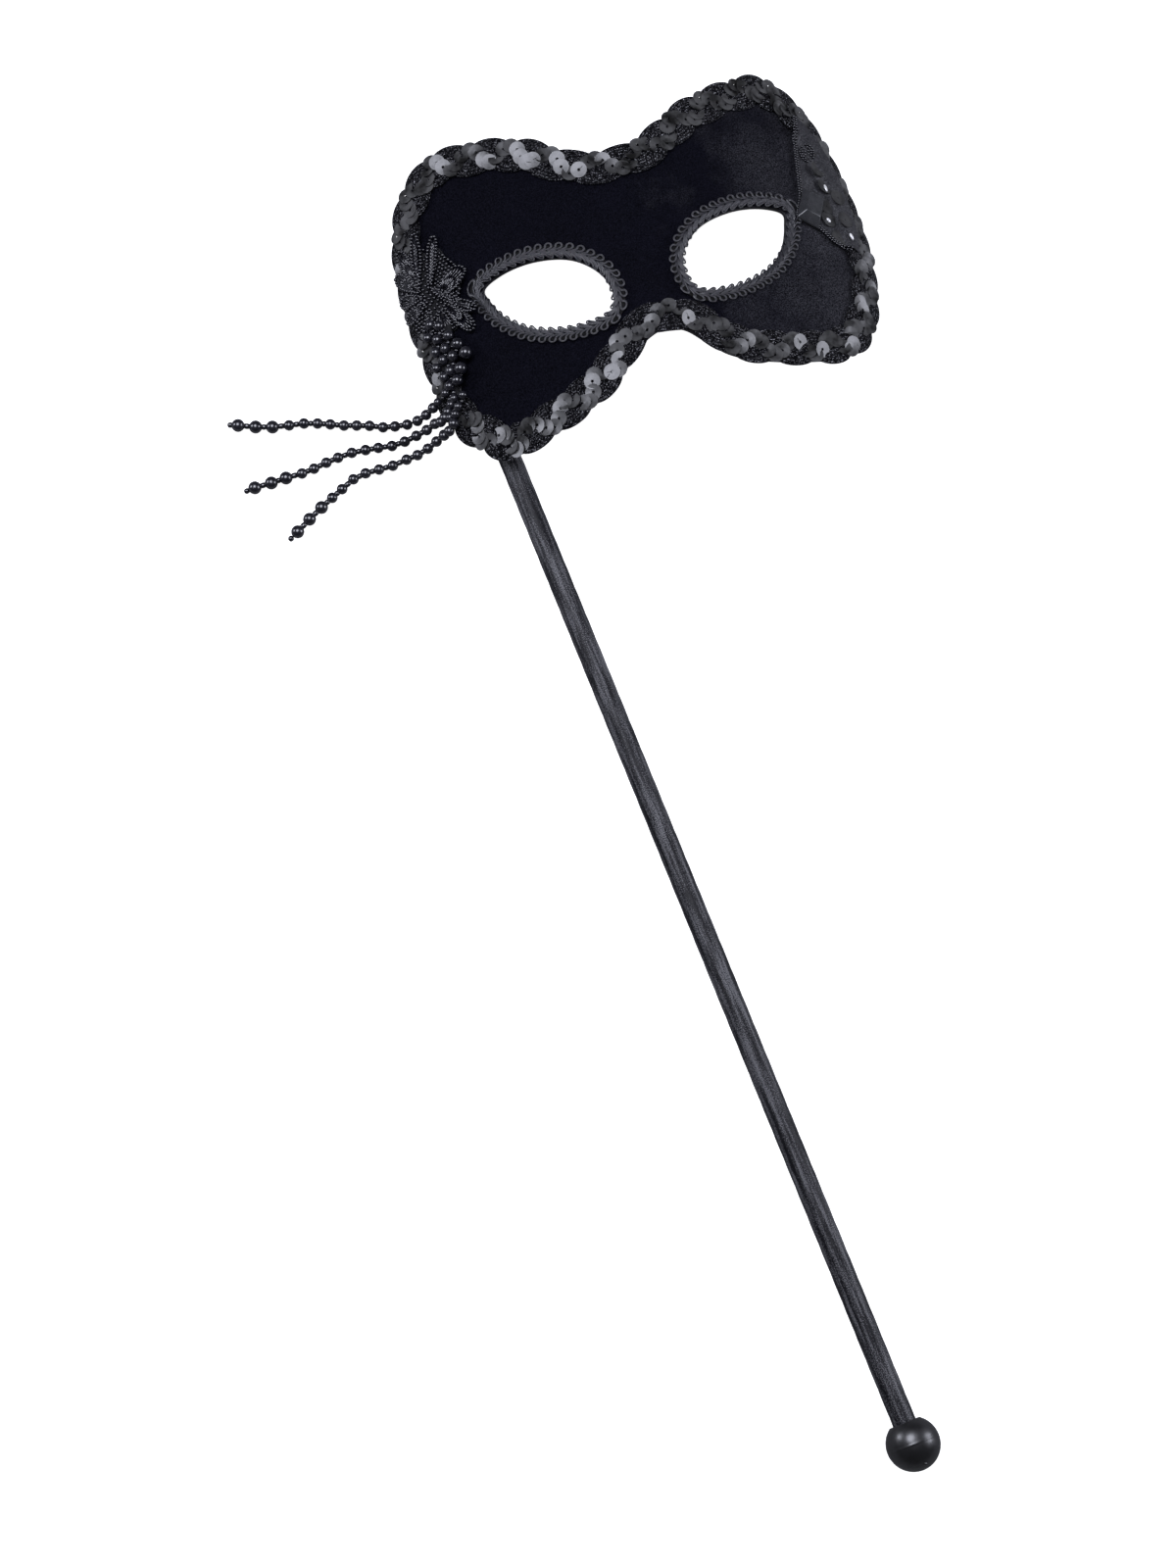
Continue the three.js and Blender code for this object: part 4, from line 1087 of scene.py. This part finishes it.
with editing(ball, "EDGE", on_a_ring):
    bpy.ops.mesh.bevel(offset=0.16, segments=2)
for vertex in ball.data.vertices:
    if abs(vertex.co.z) < 0.01 and vertex.co.length > BALL_RADIUS - 0.5:
        vertex.co *= 1.005
bpy.ops.mesh.primitive_uv_sphere_add(
    segments=16, ring_count=8, radius=PIP_RADIUS, location=PIP_PLACE)
pip = bpy.context.object
bpy.ops.object.transform_apply()
ball = joined([ball, pip])
work(ball, "BEVEL", width=0.25, segments=3, limit_method="ANGLE", angle_limit=math.radians(50))
on_stick(ball, BALL_MIDDLE)
low = places_of(ball)
low[:, 2] = np.maximum(low[:, 2], 0)
smooth(move_to(ball, low), 35)
ball_plastic = finish(
    "Glossy black plastic", {"Specular IOR Level": 0.9, "Coat Weight": 0.2, "Coat Roughness": 0.16},
    colour=(10, 0.3, (0.004, 0.004, 0.005), 0.7, (0.012, 0.012, 0.014)), roughness=(4, 0.3, 0.3, 0.7, 0.42))
ball.data.materials.append(ball_plastic)
ball.name = ball.data.name = "moulded_ball"
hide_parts("ball_finial")
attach(ball, "root")

# The glue: a bed of cloudy hot glue run in between the stick and the back of the lobe, set in soft lumps.
GLUE_LENGTH = 22
GLUE_HALF = 6
GLUE_BACK = 3
glue_middle = STICK_TOP - stick_axis * (GLUE_LENGTH / 2 + GLUE_BACK)


def round_at(across):
    u = float(across)
    for step in range(6):
        u += across - float(skin(np.array(u), np.array(0.0))[0])
    return u


rings = []
hug = RIBBON_OUTER + 0.12
for at in np.linspace(-0.5, 0.5, 23):
    swell = 1 + 0.08 * math.sin(at * 17) + 0.05 * math.sin(at * 31 + 1)
    end = 1 - 0.25 * max(0, abs(at) * 2 - 0.8) / 0.2
    spine = glue_middle + stick_axis * (GLUE_LENGTH * at)
    ring = []
    for side in np.linspace(-1, 1, 9):
        u = round_at(spine.x + side * GLUE_HALF * swell * end)
        ring.append(on_face(u, spine.y, SHELL_TOP - SHELL_THICK - 0.1) * 1000 - (MIDDLE[0], MIDDLE[1], 0))
    for part in (0.35, 0.7):
        stick_side = np.array((spine.x + hug + 0.5, spine.y, 9.4))
        ring.append(ring[8] + (stick_side - ring[8]) * part + (0.4 * swell, 0, 0))
    for angle in np.linspace(0.05, math.pi - 0.05, 13):
        ring.append(np.array((spine.x + hug * math.cos(angle), spine.y, 9 + hug * math.sin(angle))))
    for part in (0.7, 0.35):
        stick_side = np.array((spine.x - hug - 0.5, spine.y, 9.4))
        ring.append(ring[0] + (stick_side - ring[0]) * part - (0.4 * swell, 0, 0))
    ring.append(ring[0])
    rings.append(ring)
glue = lay_grid("glue_run", np.array(rings))
with editing(sew_up(glue, 0.001)):
    bpy.ops.mesh.fill_holes(sides=0)
    bpy.ops.mesh.normals_make_consistent(inside=False)
glue.data.transform(Matrix.Scale(0.001, 4) @ shift)
smooth(glue, 50)
hot_glue = finish(
    "Cloudy hot glue", {"Roughness": 0.35, "Subsurface Weight": 0.3},
    colour=(6, 0.3, (0.62, 0.6, 0.54), 0.7, (0.78, 0.77, 0.72)), relief=(2, 0.4))
glue.data.materials.append(hot_glue)
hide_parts("glue_bed")
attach(glue, "root")

# The place it is photographed in: a plain white floor under soft lights, seen from above. Floor and sky
# are bright to the camera only, so that they throw no pale rims on the beads.
UNSEEN_FLOOR = 0.2
UNSEEN_SKY = 0.05
COOL_WHITE = (0.86, 0.88, 1)
bpy.ops.mesh.primitive_plane_add(size=12, location=(0, 0, -0.0004))
floor = bpy.context.object
floor.name = "floor"
pale = finish("Lit white floor", {"Roughness": 0.9, "Emission Color": (1, 1, 1, 1)})
tree, surface, place = workings(pale)
seen = node(tree, "ShaderNodeLightPath").outputs["Is Camera Ray"]
paper = ramp(tree, grained(tree, place, 60), 0.3, 0.7, 0.7, 0.74)
tree.links.new(mix(tree, seen, (UNSEEN_FLOOR, UNSEEN_FLOOR, UNSEEN_FLOOR, 1), paper), surface["Base Color"])
tree.links.new(seen, surface["Emission Strength"])
floor.data.materials.append(pale)

bpy.context.scene.view_settings.view_transform = "Standard"
world = bpy.data.worlds.new("Studio")
world.use_nodes = True
world.node_tree.nodes["Background"].inputs["Color"].default_value = (1, 1, 1, 1)
seen = node(world.node_tree, "ShaderNodeLightPath").outputs["Is Camera Ray"]
backdrop = maths(world.node_tree, "MULTIPLY_ADD", seen, 1 - UNSEEN_SKY, UNSEEN_SKY)
world.node_tree.links.new(backdrop, world.node_tree.nodes["Background"].inputs["Strength"])
bpy.context.scene.world = world


def soft_light(name, place, aim, size, power):
    lamp = bpy.data.lights.new(name, "AREA")
    lamp.shape = "DISK"
    lamp.size = size
    lamp.energy = power
    lamp.color = COOL_WHITE
    held = bpy.data.objects.new(name, lamp)
    held.location = place
    held.rotation_euler = (Vector(aim) - Vector(place)).to_track_quat("-Z", "Y").to_euler()
    held.visible_camera = False
    bpy.context.collection.objects.link(held)


soft_light("Overhead softbox", (-0.1, 0.28, 0.98), (0, 0.05, 0), 0.9, 2.8)
soft_light("Overhead lamp", (-0.14, 0.24, 0.95), (0, 0.05, 0), 0.6, 5.6)
soft_light("Left softbox", (-0.84, 0.51, 0.4), (0, -0.1, 0), 0.4, 3.2)
soft_light("Right softbox", (1.14, -0.1, 0.45), (0, 0, 0), 0.7, 8)

camera = bpy.data.objects.new("Camera", bpy.data.cameras.new("Camera"))
camera.data.lens = 78.26
turn = Matrix(((0.9628, 0.25833, -0.07932), (-0.26927, 0.94183, -0.2011), (0.02276, 0.21498, 0.97635)))
camera.matrix_world = Matrix.Translation((-0.127466, -0.230084, 1.16723)) @ turn.to_4x4()
bpy.context.collection.objects.link(camera)
bpy.context.scene.camera = camera
